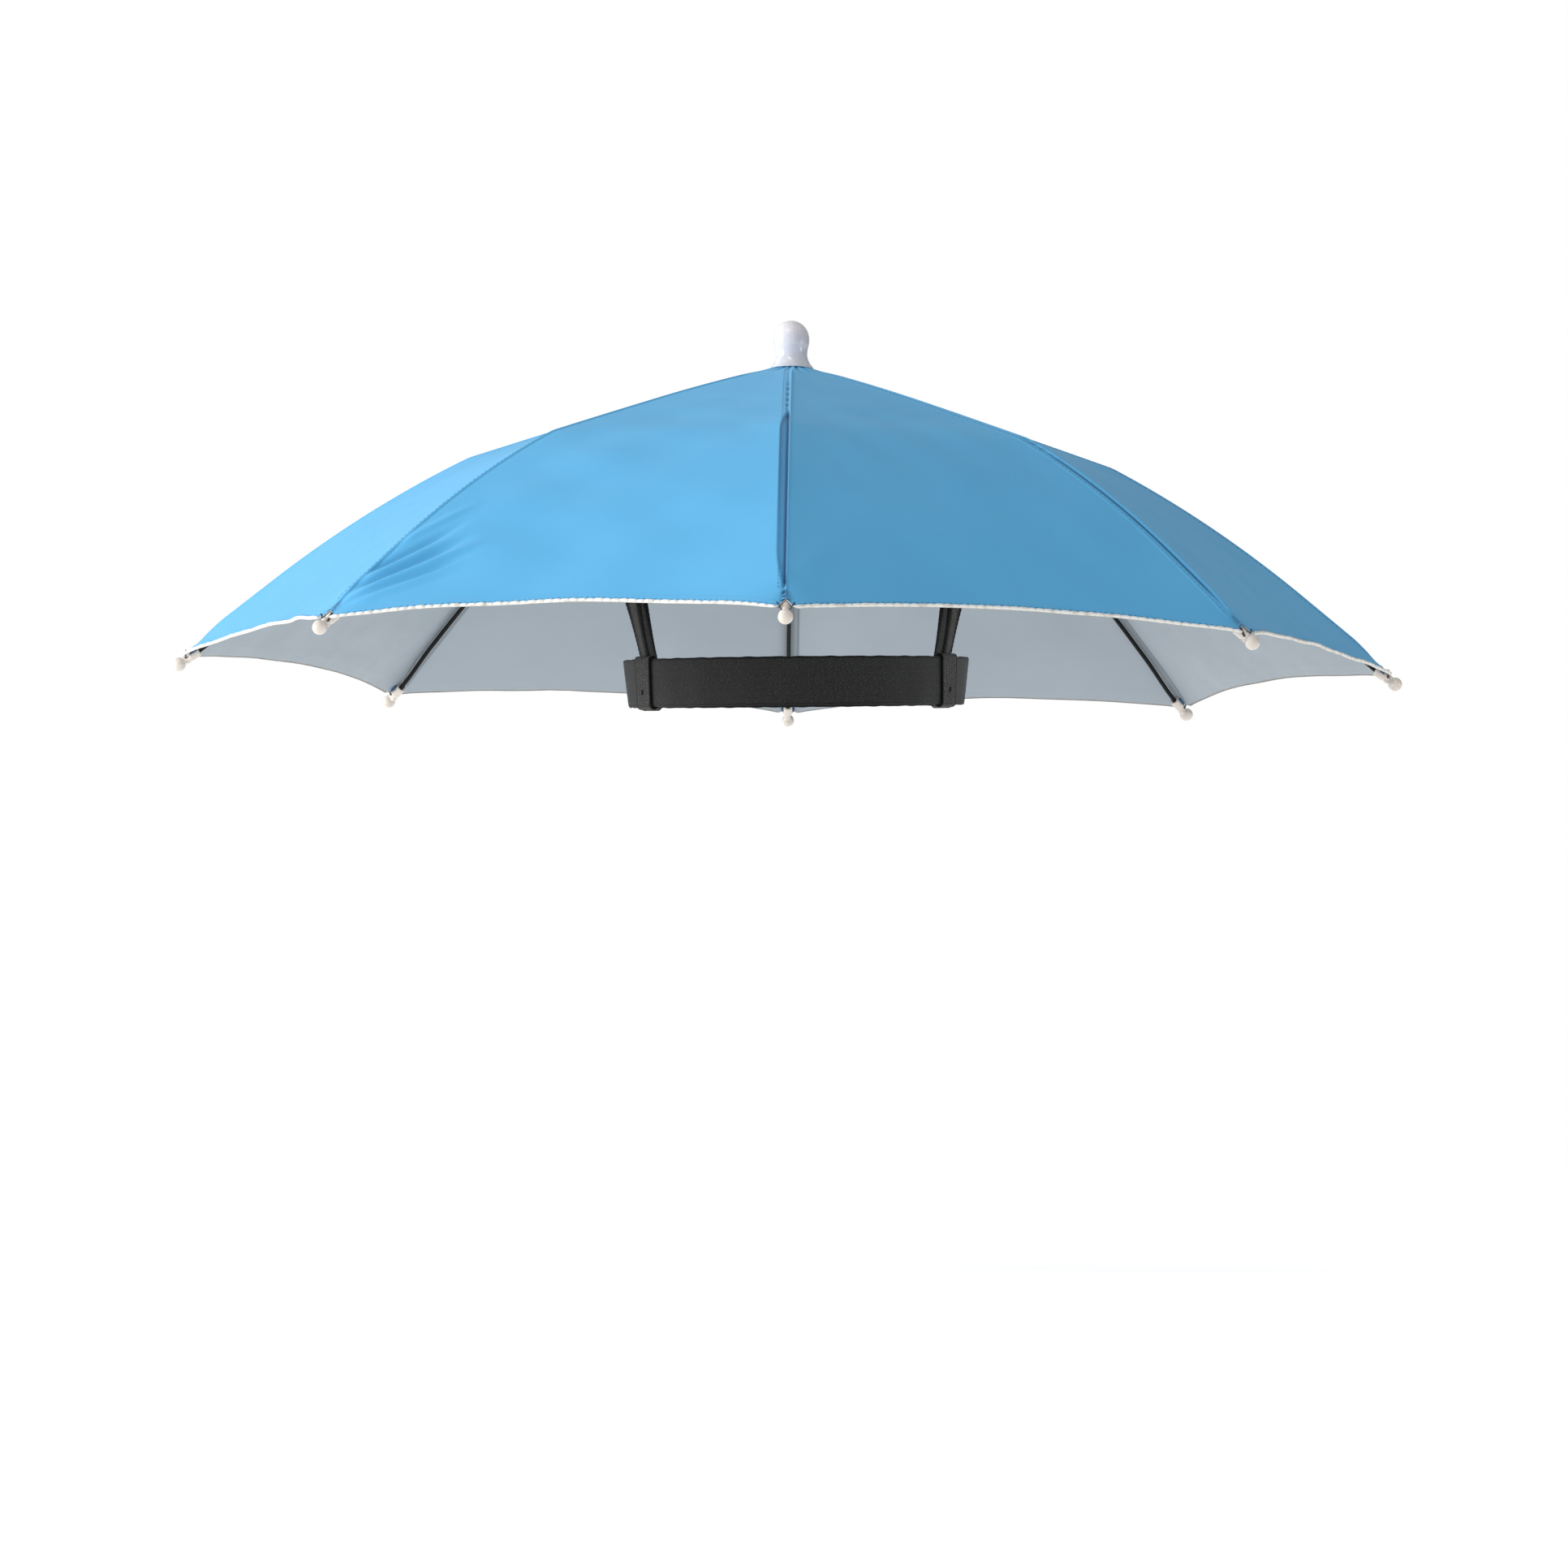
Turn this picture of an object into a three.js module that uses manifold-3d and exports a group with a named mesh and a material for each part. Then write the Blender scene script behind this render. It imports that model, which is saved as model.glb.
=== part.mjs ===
// Umbrella hat: an eight-panel cloth canopy on eight wire ribs, and a head band hung under it on four straps.
// Lengths are in millimetres and angles in degrees. +Z is up and the front faces -Y.
// The origin lies on the canopy's axis, at the middle height of the head band that the hat sits on.

import * as THREE from 'three';
import { mergeVertices } from 'three/addons/utils/BufferGeometryUtils.js';
import Module from 'manifold-3d';

const wasm = await Module();
wasm.setup();

// Clearances
const fitGap = 0.3; // between a piece and the one that holds it
const seamGap = 0.3; // between two neighbouring canopy panels

// Canopy
const panelCount = 8;
const canopyRadius = 275; // axis to each sewn corner of the cloth
const crownHeight = 145; // top of the cloth above the middle of the head band
const clothThickness = 1.2;
const hemRise = 10; // how far the middle of a panel's hem stops short of its corners, along the radius
const panelSag = 3; // how far the middle of a hem hangs below the line between its corners

// A seam from the axis to its corner. The ribs bend at one row, where the slope changes at once.
// share: part of the canopy's radius; inside and outside: slope on either side of that place
const seamProfile = [
  { share: 0, inside: 0.26, outside: 0.26 },
  { share: 0.3, inside: 0.33, outside: 0.33 },
  { share: 0.53, inside: 0.34, outside: 0.51 },
  { share: 0.7, inside: 0.66, outside: 0.66 },
  { share: 0.85, inside: 0.81, outside: 0.81 },
  { share: 1, inside: 0.81, outside: 0.81 },
];
const bend = seamProfile[2].share;

// Ribs
const ribDiameter = 2;
const ribDrop = 4.4; // outer face of the cloth to the middle of the rib under it

// Rib tips
const socketLength = 8; // how far a tip's socket reaches in from the cloth's corner
const socketWall = 0.9;
const socketGrip = 5.5; // length of rib inside its socket
const neckDiameter = 3.4;
const neckLength = 4; // from the socket's shoulder to the middle of the bead
const beadDiameter = 6.4;
const beadReach = 3; // middle of the bead past the cloth's corner
const beadDrop = 3.6; // middle of the bead below the line of the cloth's outer face

// Hub under the crown, with the post that carries the finial
const hubDiameter = 26;
const hubDepth = 5.5; // height of the hub's rim
const postDiameter = 8;
const postHeight = 10; // above the top of the cloth
const ribSeat = 7; // axis to the inner end of each rib

// Finial, with heights above the top of the cloth
const finialHeight = 19.8;
const finialBulbDiameter = 16.2;
const finialBulbHeight = 11.3;
const finialNeckDiameter = 14.1;
const finialNeckHeight = 3.9;
const finialBaseDiameter = 19.8;
const finialRim = 0.6; // thickness of the base's edge
const turnedSides = 24; // of the hub and the finial

// Head band, measured on the middle of its webbing
const bandWidth = 153; // side to side, at mid height
const bandLength = 192; // front to back, at mid height
const bandHeight = 21.3;
const bandThickness = 1.4;
const bandFlare = 1.2; // how far the top edge stands out over the middle, and the bottom edge in
const bandShift = 4.3; // middle of the band to the right of the canopy's axis
const bandFrontTilt = 4.2; // front edge down
const bandSideTilt = 1.5; // right side up

// Straps, and the loops that hold them on the band
const strapWidth = 10;
const strapThickness = 1;
const strapRadius = 124; // axis to the place where a strap hangs on its rib
const loopWidth = 16;
const loopAngle = 60.5; // place of a loop on the band's oval, from the middle of the front or the back

// Colours
const clothBlue = '#5aa9dd';
const wireBlack = '#141414';
const tipWhite = '#e9e5df';
const finialWhite = '#dcdde6';
const bandBlack = '#2e2e2c';
const strapGrey = '#40403f';

const radians = THREE.MathUtils.degToRad;
const up = new THREE.Vector3(0, 0, 1);
const panelAngle = 360 / panelCount;
const halfPanelCos = Math.cos(radians(panelAngle / 2));
const ribRadius = ribDiameter / 2;
const ribBore = ribRadius + fitGap;
const postRadius = postDiameter / 2;
const crownHole = (postRadius + fitGap) / halfPanelCos / canopyRadius;

// Slope of the seam at a share of the radius, on its inner side where the two sides differ
function seamSlope(share) {
  const last = seamProfile.length - 1;
  let row = 1;
  while (row < last && share > seamProfile[row].share) row++;
  const from = seamProfile[row - 1];
  const to = seamProfile[row];
  const part = Math.min((share - from.share) / (to.share - from.share), 1);
  return THREE.MathUtils.lerp(from.outside, to.inside, part);
}

// Height of the seam's outer face, which is a parabola along each stretch of the table
function seamHeight(share) {
  let height = crownHeight;
  for (let row = 1; row < seamProfile.length; row++) {
    const from = seamProfile[row - 1];
    const to = seamProfile[row];
    const stretch = to.share - from.share;
    const reach = THREE.MathUtils.clamp(share - from.share, 0, stretch);
    const endSlope = THREE.MathUtils.lerp(from.outside, to.inside, reach / stretch);
    height -= ((from.outside + endSlope) / 2) * reach * canopyRadius;
  }
  return height;
}

// Horizontal direction at an angle from the front, towards +X
function outward(angle) {
  return new THREE.Vector3(Math.sin(radians(angle)), -Math.cos(radians(angle)), 0);
}

// Direction down along a seam at a share of the radius
function downhill(angle, share) {
  return outward(angle).addScaledVector(up, -seamSlope(share)).normalize();
}

// A point a distance below the outer face of the cloth on a seam, measured square to the seam
function underSeam(angle, share, drop) {
  const point = outward(angle).multiplyScalar(share * canopyRadius).setZ(seamHeight(share));
  const inward = new THREE.Vector3().crossVectors(outward(angle + 90), downhill(angle, share));
  return point.addScaledVector(inward, drop);
}

// Closed body from vertices and triangles, with its faces turned out
function closedBody(vertices, triangles) {
  let volume = 0;
  for (let start = 0; start < triangles.length; start += 3) {
    const [first, second, third] = triangles.slice(start, start + 3).map((index) => vertices[index]);
    volume += first.dot(new THREE.Vector3().crossVectors(second, third));
  }
  const geometry = new THREE.BufferGeometry();
  const positions = vertices.flatMap((vertex) => vertex.toArray());
  geometry.setAttribute('position', new THREE.Float32BufferAttribute(positions, 3));
  geometry.setIndex(volume > 0 ? triangles : triangles.toReversed());
  geometry.computeVertexNormals();
  return geometry;
}

// Body from rings of points that all have the same even count. An end is capped by strips across its ring.
function ringBody(rings, closed = false) {
  const count = rings[0].length;
  const last = (rings.length - 1) * count;
  const triangles = [];
  for (let ring = 0; ring < (closed ? rings.length : rings.length - 1); ring++) {
    const here = ring * count;
    const next = ((ring + 1) % rings.length) * count;
    for (let side = 0; side < count; side++) {
      const after = (side + 1) % count;
      triangles.push(here + side, here + after, next + after);
      triangles.push(here + side, next + after, next + side);
    }
  }
  for (let side = 0; !closed && side < count / 2 - 1; side++) {
    const facing = count - 1 - side;
    triangles.push(side, facing, side + 1);
    triangles.push(side + 1, facing, facing - 1);
    triangles.push(last + side, last + side + 1, last + facing);
    triangles.push(last + side + 1, last + facing - 1, last + facing);
  }
  return closedBody(rings.flat(), triangles);
}

// Points round a centre, turning from the first direction to the second
function ringAround(centre, first, second, radius, count) {
  const points = [];
  for (let side = 0; side < count; side++) {
    const turn = (2 * Math.PI * (side + 0.5)) / count;
    const point = centre.clone().addScaledVector(first, Math.cos(turn) * radius);
    points.push(point.addScaledVector(second, Math.sin(turn) * radius));
  }
  return points;
}

// Round bar or bore between two points
function bar(from, to, radius, count) {
  const along = to.clone().sub(from).normalize();
  const side = new THREE.Vector3(along.y, -along.x, 0).normalize();
  const above = new THREE.Vector3().crossVectors(side, along);
  return ringBody([from, to].map((centre) => ringAround(centre, side, above, radius, count)));
}

// Turned body from a profile of radius and height that starts and ends on the axis
function turned(profile, segments) {
  const bare = new THREE.LatheGeometry(profile, segments);
  bare.deleteAttribute('normal');
  bare.deleteAttribute('uv');
  const merged = mergeVertices(bare, 1e-3);
  const position = merged.attributes.position;
  const vertices = [];
  for (let index = 0; index < position.count; index++) {
    const vertex = new THREE.Vector3().fromBufferAttribute(position, index);
    vertices.push(new THREE.Vector3(vertex.x, -vertex.z, vertex.y));
  }
  const triangles = [];
  for (let start = 0; start < merged.index.count; start += 3) {
    const corners = [...merged.index.array.slice(start, start + 3)];
    if (new Set(corners).size === 3) triangles.push(...corners);
  }
  return closedBody(vertices, triangles);
}

function toSolid(geometry) {
  return new wasm.Manifold(new wasm.Mesh({
    numProp: 3,
    vertProperties: new Float32Array(geometry.attributes.position.array),
    triVerts: new Uint32Array(geometry.index.array),
  }));
}

function fromSolid(solid) {
  const mesh = solid.getMesh();
  const geometry = new THREE.BufferGeometry();
  geometry.setAttribute('position', new THREE.Float32BufferAttribute(mesh.vertProperties, 3));
  geometry.setIndex([...mesh.triVerts]);
  geometry.computeVertexNormals();
  return geometry;
}

function named(name, geometry, color, roughness, metalness = 0) {
  const material = new THREE.MeshStandardMaterial({ color, roughness, metalness });
  const mesh = new THREE.Mesh(geometry, material);
  mesh.name = name;
  return mesh;
}

// Canopy panel: a thin wall between two seams, with the crown's hole, the bend of the ribs and the curved hem
const rowsPerStretch = 3;
const panelColumns = 6;

function panelShares() {
  const shares = [];
  for (let row = 1; row < seamProfile.length; row++) {
    const from = Math.max(seamProfile[row - 1].share, crownHole);
    for (let step = 0; step < rowsPerStretch; step++) {
      shares.push(THREE.MathUtils.lerp(from, seamProfile[row].share, step / rowsPerStretch));
    }
  }
  return [...shares, 1];
}

// A panel's rows lie level as far as the bend, and past it they follow the curved hem more and more
function hemmedShare(share, across) {
  if (share <= bend) return share;
  const hem = 1 - (hemRise / canopyRadius) * 4 * across * (1 - across);
  return bend + ((share - bend) / (1 - bend)) * (hem - bend);
}

function panelPoint(share, across, depth) {
  const local = hemmedShare(share, across);
  const point = outward(0).lerp(outward(panelAngle), across).multiplyScalar(local * canopyRadius);
  const sag = panelSag * local * local * 4 * across * (1 - across);
  const slope = seamSlope(local) / halfPanelCos;
  return point.setZ(seamHeight(local) - sag - depth * Math.hypot(1, slope));
}

function panelGeometry() {
  const rings = panelShares().map((share) => {
    const chord = 2 * share * canopyRadius * Math.sin(radians(panelAngle / 2));
    const edge = seamGap / 2 / (chord * halfPanelCos);
    const outer = [];
    const inner = [];
    for (let column = 0; column <= panelColumns; column++) {
      const across = THREE.MathUtils.lerp(edge, 1 - edge, column / panelColumns);
      outer.push(panelPoint(share, across, 0));
      inner.unshift(panelPoint(share, across, clothThickness));
    }
    return [...outer, ...inner];
  });
  return ringBody(rings);
}

// Rib tip: its axis runs from the socket's mouth, on the rib, to the middle of the bead
const tipSides = 10;
const socketMouth = () => {
  const share = 1 - (socketLength * downhill(0, 1).dot(outward(0))) / canopyRadius;
  return { share, point: underSeam(0, share, ribDrop) };
};
const beadMiddle = () => underSeam(0, 1, beadDrop).addScaledVector(downhill(0, 1), beadReach);
const tipDirection = () => beadMiddle().sub(socketMouth().point).normalize();

function tipGeometry() {
  const reach = socketMouth().point.distanceTo(beadMiddle());
  const socketRadius = ribBore + socketWall;
  const neckRadius = neckDiameter / 2;
  const beadRadius = beadDiameter / 2;
  const boreEnd = socketGrip + fitGap;
  const shoulder = reach - neckLength;
  const beadStart = Math.asin(neckRadius / beadRadius);
  const profile = new THREE.Path();
  profile.moveTo(0, boreEnd);
  profile.lineTo(ribBore, boreEnd);
  profile.lineTo(ribBore, 0);
  profile.lineTo(socketRadius, 0);
  profile.lineTo(socketRadius, shoulder - socketWall);
  profile.lineTo(neckRadius, shoulder);
  profile.absarc(0, reach, beadRadius, beadStart - Math.PI / 2, Math.PI / 2, false);
  return turned(profile.getPoints(3), tipSides);
}

// Rib: a bent wire under a seam, from its seat in the hub to its end in the tip's socket
const ribSides = 8;
const ribSteps = 5; // on either side of the bend

function ribPoints() {
  const start = ribSeat / canopyRadius;
  const mouth = socketMouth();
  const points = [];
  for (let step = 0; step < ribSteps; step++) {
    points.push(underSeam(0, THREE.MathUtils.lerp(start, bend, step / ribSteps), ribDrop));
  }
  for (let step = 0; step < ribSteps; step++) {
    points.push(underSeam(0, THREE.MathUtils.lerp(bend, mouth.share, step / ribSteps), ribDrop));
  }
  return [...points, mouth.point, mouth.point.clone().addScaledVector(tipDirection(), socketGrip)];
}

function ribGeometry() {
  const points = ribPoints();
  const rings = points.map((point, index) => {
    const before = points[Math.max(index - 1, 0)];
    const after = points[Math.min(index + 1, points.length - 1)];
    const along = after.clone().sub(before).normalize();
    const above = new THREE.Vector3().crossVectors(outward(90), along);
    return ringAround(point, outward(90), above, ribRadius, ribSides);
  });
  return ringBody(rings);
}

// Hub: a turned disc under the crown with a bore for each rib, and the post that carries the finial
function hubGeometry() {
  const underCloth = (radius) => {
    const share = radius / halfPanelCos / canopyRadius;
    return panelPoint(share, 0.5, clothThickness).z - fitGap;
  };
  const hubRadius = hubDiameter / 2;
  const underside = underCloth(hubRadius) - hubDepth;
  const profile = [
    new THREE.Vector2(0, underside),
    new THREE.Vector2(hubRadius, underside),
    new THREE.Vector2(hubRadius, underCloth(hubRadius)),
    new THREE.Vector2(postRadius, underCloth(postRadius)),
    new THREE.Vector2(postRadius, crownHeight + postHeight),
    new THREE.Vector2(0, crownHeight + postHeight),
  ];
  let hub = toSolid(turned(profile, turnedSides));
  const [start, next] = ribPoints();
  const along = next.clone().sub(start).normalize();
  const mouth = start.clone().addScaledVector(along, hubRadius);
  for (let index = 0; index < panelCount; index++) {
    const bore = bar(start.clone().addScaledVector(along, -fitGap), mouth, ribBore, ribSides);
    hub = hub.subtract(toSolid(bore.rotateZ(radians(index * panelAngle))));
  }
  return fromSolid(hub);
}

// Finial: a turned knob with a flared base that rests on the crown, bored for the hub's post
function finialGeometry() {
  const overCloth = (radius) => seamHeight(radius / canopyRadius) + fitGap;
  const bulb = finialBulbDiameter / 2;
  const neck = finialNeckDiameter / 2;
  const base = finialBaseDiameter / 2;
  const bore = postRadius + fitGap;
  const boreEnd = crownHeight + postHeight + fitGap;
  const bulbHeight = crownHeight + finialBulbHeight;
  const neckHeight = crownHeight + finialNeckHeight;
  const rimHeight = overCloth(base) + finialRim;
  const profile = new THREE.Path();
  profile.moveTo(0, boreEnd);
  profile.lineTo(bore, boreEnd);
  profile.lineTo(bore, overCloth(bore));
  profile.lineTo(base, overCloth(base));
  profile.lineTo(base, rimHeight);
  const middle = (neckHeight + bulbHeight) / 2;
  profile.quadraticCurveTo(neck, (rimHeight + neckHeight) / 2, neck, neckHeight);
  profile.bezierCurveTo(neck, middle, bulb, middle, bulb, bulbHeight);
  profile.absellipse(0, bulbHeight, bulb, finialHeight - finialBulbHeight, 0, Math.PI / 2, false);
  return turned(profile.getPoints(4), turnedSides);
}

// Place of the head band's middle, tilted so that its front hangs lower than its back
const bandFrame = new THREE.Group();
bandFrame.position.set(bandShift, 0, 0);
bandFrame.rotation.set(radians(bandFrontTilt), radians(-bandSideTilt), 0, 'YXZ');
bandFrame.updateMatrixWorld();

// A point of the head band: an angle round its oval, a distance out from its middle, and a height
function bandPoint(angle, stand, height) {
  const point = outward(angle).multiply(new THREE.Vector3(bandWidth / 2, bandLength / 2, 0));
  const square = outward(angle).multiply(new THREE.Vector3(bandLength, bandWidth, 0)).normalize();
  const flare = (bandFlare * height) / (bandHeight / 2);
  return point.addScaledVector(square, stand + flare).setZ(height);
}

function bandSection(angle, innerStand, outerStand, low, high) {
  return [
    bandPoint(angle, innerStand, low),
    bandPoint(angle, outerStand, low),
    bandPoint(angle, outerStand, high),
    bandPoint(angle, innerStand, high),
  ];
}

function bandGeometry() {
  const steps = 64;
  const rings = [];
  for (let step = 0; step < steps; step++) {
    const angle = (360 * step) / steps;
    const half = bandThickness / 2;
    rings.push(bandSection(angle, -half, half, -bandHeight / 2, bandHeight / 2));
  }
  return ringBody(rings, true);
}

// Strap with its loop: the loop wraps the band, leans with the strap and is one piece with it
class Strap {
  constructor(ribAngle, bandAngle) {
    this.bandAngle = bandAngle;
    this.hook = underSeam(ribAngle, strapRadius / canopyRadius, ribDrop);
    this.ribLine = downhill(ribAngle, strapRadius / canopyRadius);
    const before = bandPoint(bandAngle - 1, 0, 0);
    this.perDegree = bandPoint(bandAngle + 1, 0, 0).distanceTo(before) / 2;
    this.bandLine = bandPoint(bandAngle + 1, 0, 0).sub(before).normalize();
    const rise = bandFrame.worldToLocal(this.hook.clone()).sub(bandPoint(bandAngle, 0, 0));
    this.lean = rise.dot(this.bandLine) / rise.z;
  }

  // Section of the loop at a distance along the band, with clearance or without
  loopSection(along, wall) {
    const stand = bandThickness / 2 + fitGap + wall;
    const edge = bandHeight / 2 + fitGap + wall;
    const low = this.bandAngle + (along - this.lean * edge) / this.perDegree;
    const high = this.bandAngle + (along + this.lean * edge) / this.perDegree;
    return [
      bandPoint(low, -stand, -edge),
      bandPoint(low, stand, -edge),
      bandPoint(high, stand, edge),
      bandPoint(high, -stand, edge),
    ];
  }

  loopBody(halfWidth, wall) {
    const steps = 4;
    const rings = [];
    for (let step = 0; step <= steps; step++) {
      rings.push(this.loopSection(THREE.MathUtils.lerp(-halfWidth, halfWidth, step / steps), wall));
    }
    return toSolid(ringBody(rings).applyMatrix4(bandFrame.matrixWorld));
  }

  // Webbing from the loop's top edge up to the rib. It twists from the band's line to the rib's
  // the longer way round, so its flat side faces outwards over the whole way
  ribbon() {
    const edge = bandHeight / 2 + fitGap + strapThickness / 2;
    const footAngle = this.bandAngle + (this.lean * edge) / this.perDegree;
    const foot = bandFrame.localToWorld(bandPoint(footAngle, 0, edge));
    const rise = this.hook.clone().sub(foot);
    const direction = rise.clone().normalize();
    const length = rise.length() - ribBore - strapThickness / 2;
    const start = this.bandLine.clone().transformDirection(bandFrame.matrixWorld);
    start.projectOnPlane(direction).normalize();
    const end = this.ribLine.clone().projectOnPlane(direction).normalize();
    if (start.dot(end) > 0) end.negate();
    const twist = Math.atan2(new THREE.Vector3().crossVectors(start, end).dot(direction), start.dot(end));
    const steps = 12;
    const rings = [];
    for (let step = 0; step <= steps; step++) {
      const share = step / steps;
      const turn = twist * THREE.MathUtils.smoothstep(share, 0, 1);
      const across = start.clone().applyAxisAngle(direction, turn).multiplyScalar(strapWidth / 2);
      const through = new THREE.Vector3().crossVectors(direction, across).setLength(strapThickness / 2);
      const middle = foot.clone().addScaledVector(direction, length * share);
      rings.push([
        middle.clone().sub(across).sub(through),
        middle.clone().add(across).sub(through),
        middle.clone().add(across).add(through),
        middle.clone().sub(across).add(through),
      ]);
    }
    return toSolid(ringBody(rings));
  }

  // Sleeve in which the webbing's end is folded round the rib
  sleeve(radius, halfLength) {
    const from = this.hook.clone().addScaledVector(this.ribLine, -halfLength);
    const to = this.hook.clone().addScaledVector(this.ribLine, halfLength);
    return toSolid(bar(from, to, radius, 12));
  }

  geometry() {
    const outer = this.loopBody(loopWidth / 2, strapThickness).add(this.ribbon());
    const hooked = outer.add(this.sleeve(ribBore + strapThickness, strapWidth / 2));
    const opened = hooked.subtract(this.loopBody(loopWidth, 0)).subtract(this.sleeve(ribBore, strapWidth));
    return fromSolid(opened);
  }
}

const hat = new THREE.Group();
const canopy = new THREE.Group();
const frame = new THREE.Group();
hat.add(canopy, frame, bandFrame);

for (let index = 0; index < panelCount; index++) {
  const turn = radians(index * panelAngle);
  const panel = named(`canopy_panel_${index + 1}`, panelGeometry(), clothBlue, 0.55);
  panel.rotation.z = turn;
  canopy.add(panel);

  const ribbed = new THREE.Group();
  ribbed.rotation.z = turn;
  ribbed.add(named(`rib_${index + 1}`, ribGeometry(), wireBlack, 0.35, 0.6));
  const tip = named(`rib_tip_${index + 1}`, tipGeometry(), tipWhite, 0.35);
  tip.position.copy(socketMouth().point);
  tip.quaternion.setFromUnitVectors(up, tipDirection());
  ribbed.add(tip);
  frame.add(ribbed);
}

frame.add(named('hub', hubGeometry(), tipWhite, 0.4));
frame.add(named('finial', finialGeometry(), finialWhite, 0.25));
bandFrame.add(named('head_band', bandGeometry(), bandBlack, 0.9));

const strapPlaces = [
  { name: 'strap_front_right', ribAngle: 45, bandAngle: loopAngle },
  { name: 'strap_front_left', ribAngle: -45, bandAngle: -loopAngle },
  { name: 'strap_back_right', ribAngle: 135, bandAngle: 180 - loopAngle },
  { name: 'strap_back_left', ribAngle: -135, bandAngle: loopAngle - 180 },
];
for (const place of strapPlaces) {
  const strap = new Strap(place.ribAngle, place.bandAngle);
  frame.add(named(place.name, strap.geometry(), strapGrey, 0.85));
}

export default hat;
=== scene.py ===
"""Umbrella hat: a small eight-panel umbrella over an elastic head band, hung from its ribs by four straps.

The cloth, ribs, tips, crown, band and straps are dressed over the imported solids, in metres and in the same
frame: the middle of the head band is the origin, the front of the hat is towards -Y and its top towards +Z.
"""
import logging
import math
from dataclasses import dataclass, field
from enum import Enum
from typing import Callable, Sequence

import bmesh
import bpy
import numpy as np
from bpy.types import Material, Mesh, Node, NodeSocket, NodeTree, Object
from mathutils import Matrix, Vector


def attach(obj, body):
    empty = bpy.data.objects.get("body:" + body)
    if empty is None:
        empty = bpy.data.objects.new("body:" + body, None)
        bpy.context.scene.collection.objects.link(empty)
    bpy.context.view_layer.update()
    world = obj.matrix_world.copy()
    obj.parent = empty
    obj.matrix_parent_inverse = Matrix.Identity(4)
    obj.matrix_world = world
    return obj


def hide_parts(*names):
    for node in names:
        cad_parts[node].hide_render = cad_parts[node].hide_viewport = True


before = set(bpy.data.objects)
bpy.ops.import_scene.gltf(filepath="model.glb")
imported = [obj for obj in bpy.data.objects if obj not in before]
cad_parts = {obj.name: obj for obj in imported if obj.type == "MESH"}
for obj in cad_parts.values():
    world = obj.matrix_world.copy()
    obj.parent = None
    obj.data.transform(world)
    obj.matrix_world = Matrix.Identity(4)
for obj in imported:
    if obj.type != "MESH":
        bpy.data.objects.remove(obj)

LOG = logging.getLogger("umbrella_hat")
MM = 0.001
UP = Vector((0.0, 0.0, 1.0))
PANEL_COUNT = 8
PANEL_ANGLE = 360.0 / PANEL_COUNT
HALF_PANEL = math.radians(PANEL_ANGLE / 2)
LOOP_ANGLE = 60.5
ROOT = "root"


def smooth(low: float, high: float, value: np.ndarray) -> np.ndarray:
    """Ease from 0 at low to 1 at high."""
    share = np.clip((value - low) / (high - low), 0.0, 1.0)
    return share * share * (3.0 - 2.0 * share)


def bell(value: np.ndarray, middle: float, width: float) -> np.ndarray:
    """A rounded rise of height 1 at the middle."""
    return np.exp(-(((value - middle) / width) ** 2))


def outward(angle: float) -> Vector:
    """Level direction away from the axis, at an angle in degrees from the front towards the right."""
    turn = math.radians(angle)
    return Vector((math.sin(turn), -math.cos(turn), 0.0))


def mesh_of(
    name: str,
    points: Sequence[Sequence[float]],
    faces: Sequence[Sequence[int]],
    edges: Sequence[Sequence[int]] = (),
) -> Mesh:
    """Make a smooth-shaded mesh.

    Args:
        name: Name of the mesh.
        points: Its vertices in metres.
        faces: Vertex indices of each face, counter-clockwise from outside.
        edges: Vertex indices of loose edges.

    Returns:
        The new mesh.
    """
    mesh = bpy.data.meshes.new(name)
    mesh.from_pydata([tuple(point) for point in points], list(edges), [tuple(face) for face in faces])
    mesh.update()
    if faces:
        mesh.shade_smooth()
    return mesh


def piece_of(name: str, mesh: Mesh, *materials: Material) -> Object:
    """Place a mesh in the scene as one piece at the origin.

    Args:
        name: Name of the piece.
        mesh: Its finished or still bare mesh.
        materials: Materials for its slots, in order.

    Returns:
        The new object.
    """
    piece = bpy.data.objects.new(name, mesh)
    bpy.context.scene.collection.objects.link(piece)
    for material in materials:
        mesh.materials.append(material)
    return piece


def lines_of(name: str, lines: Sequence[Sequence[Sequence[float]]]) -> Mesh:
    """Make a mesh of open lines for a node tree to follow.

    Args:
        name: Name of the mesh.
        lines: The points of each line, in order.

    Returns:
        The mesh, which has edges alone.
    """
    points, edges = [], []
    for line in lines:
        first = len(points)
        points.extend(line)
        edges.extend((index, index + 1) for index in range(first, len(points) - 1))
    return mesh_of(name, points, [], edges)


def shade_mesh(mesh: Mesh, shade: Sequence[float]) -> None:
    """Give every vertex the darkness, from 0 to 1, that the finishes read: painted shade on the canopy and in
    the loops' valleys, and the band's dark edges and the webbing's edges and bar tacks.
    """
    mesh.attributes.new("shade", "FLOAT", "POINT").data.foreach_set("value", shade)


def ring_faces(rings: int, sides: int, closed_rings: bool = False) -> list[tuple[int, int, int, int]]:
    """Quads over rings of vertices that each close on themselves.

    Args:
        rings: Number of rings.
        sides: Vertices in each ring.
        closed_rings: Whether the last ring joins the first.

    Returns:
        The quads' vertex indices.
    """
    faces = []
    for ring in range(rings if closed_rings else rings - 1):
        after = (ring + 1) % rings
        for side in range(sides):
            beside = (side + 1) % sides
            faces.append(
                (ring * sides + side, ring * sides + beside, after * sides + beside, after * sides + side)
            )
    return faces


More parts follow.
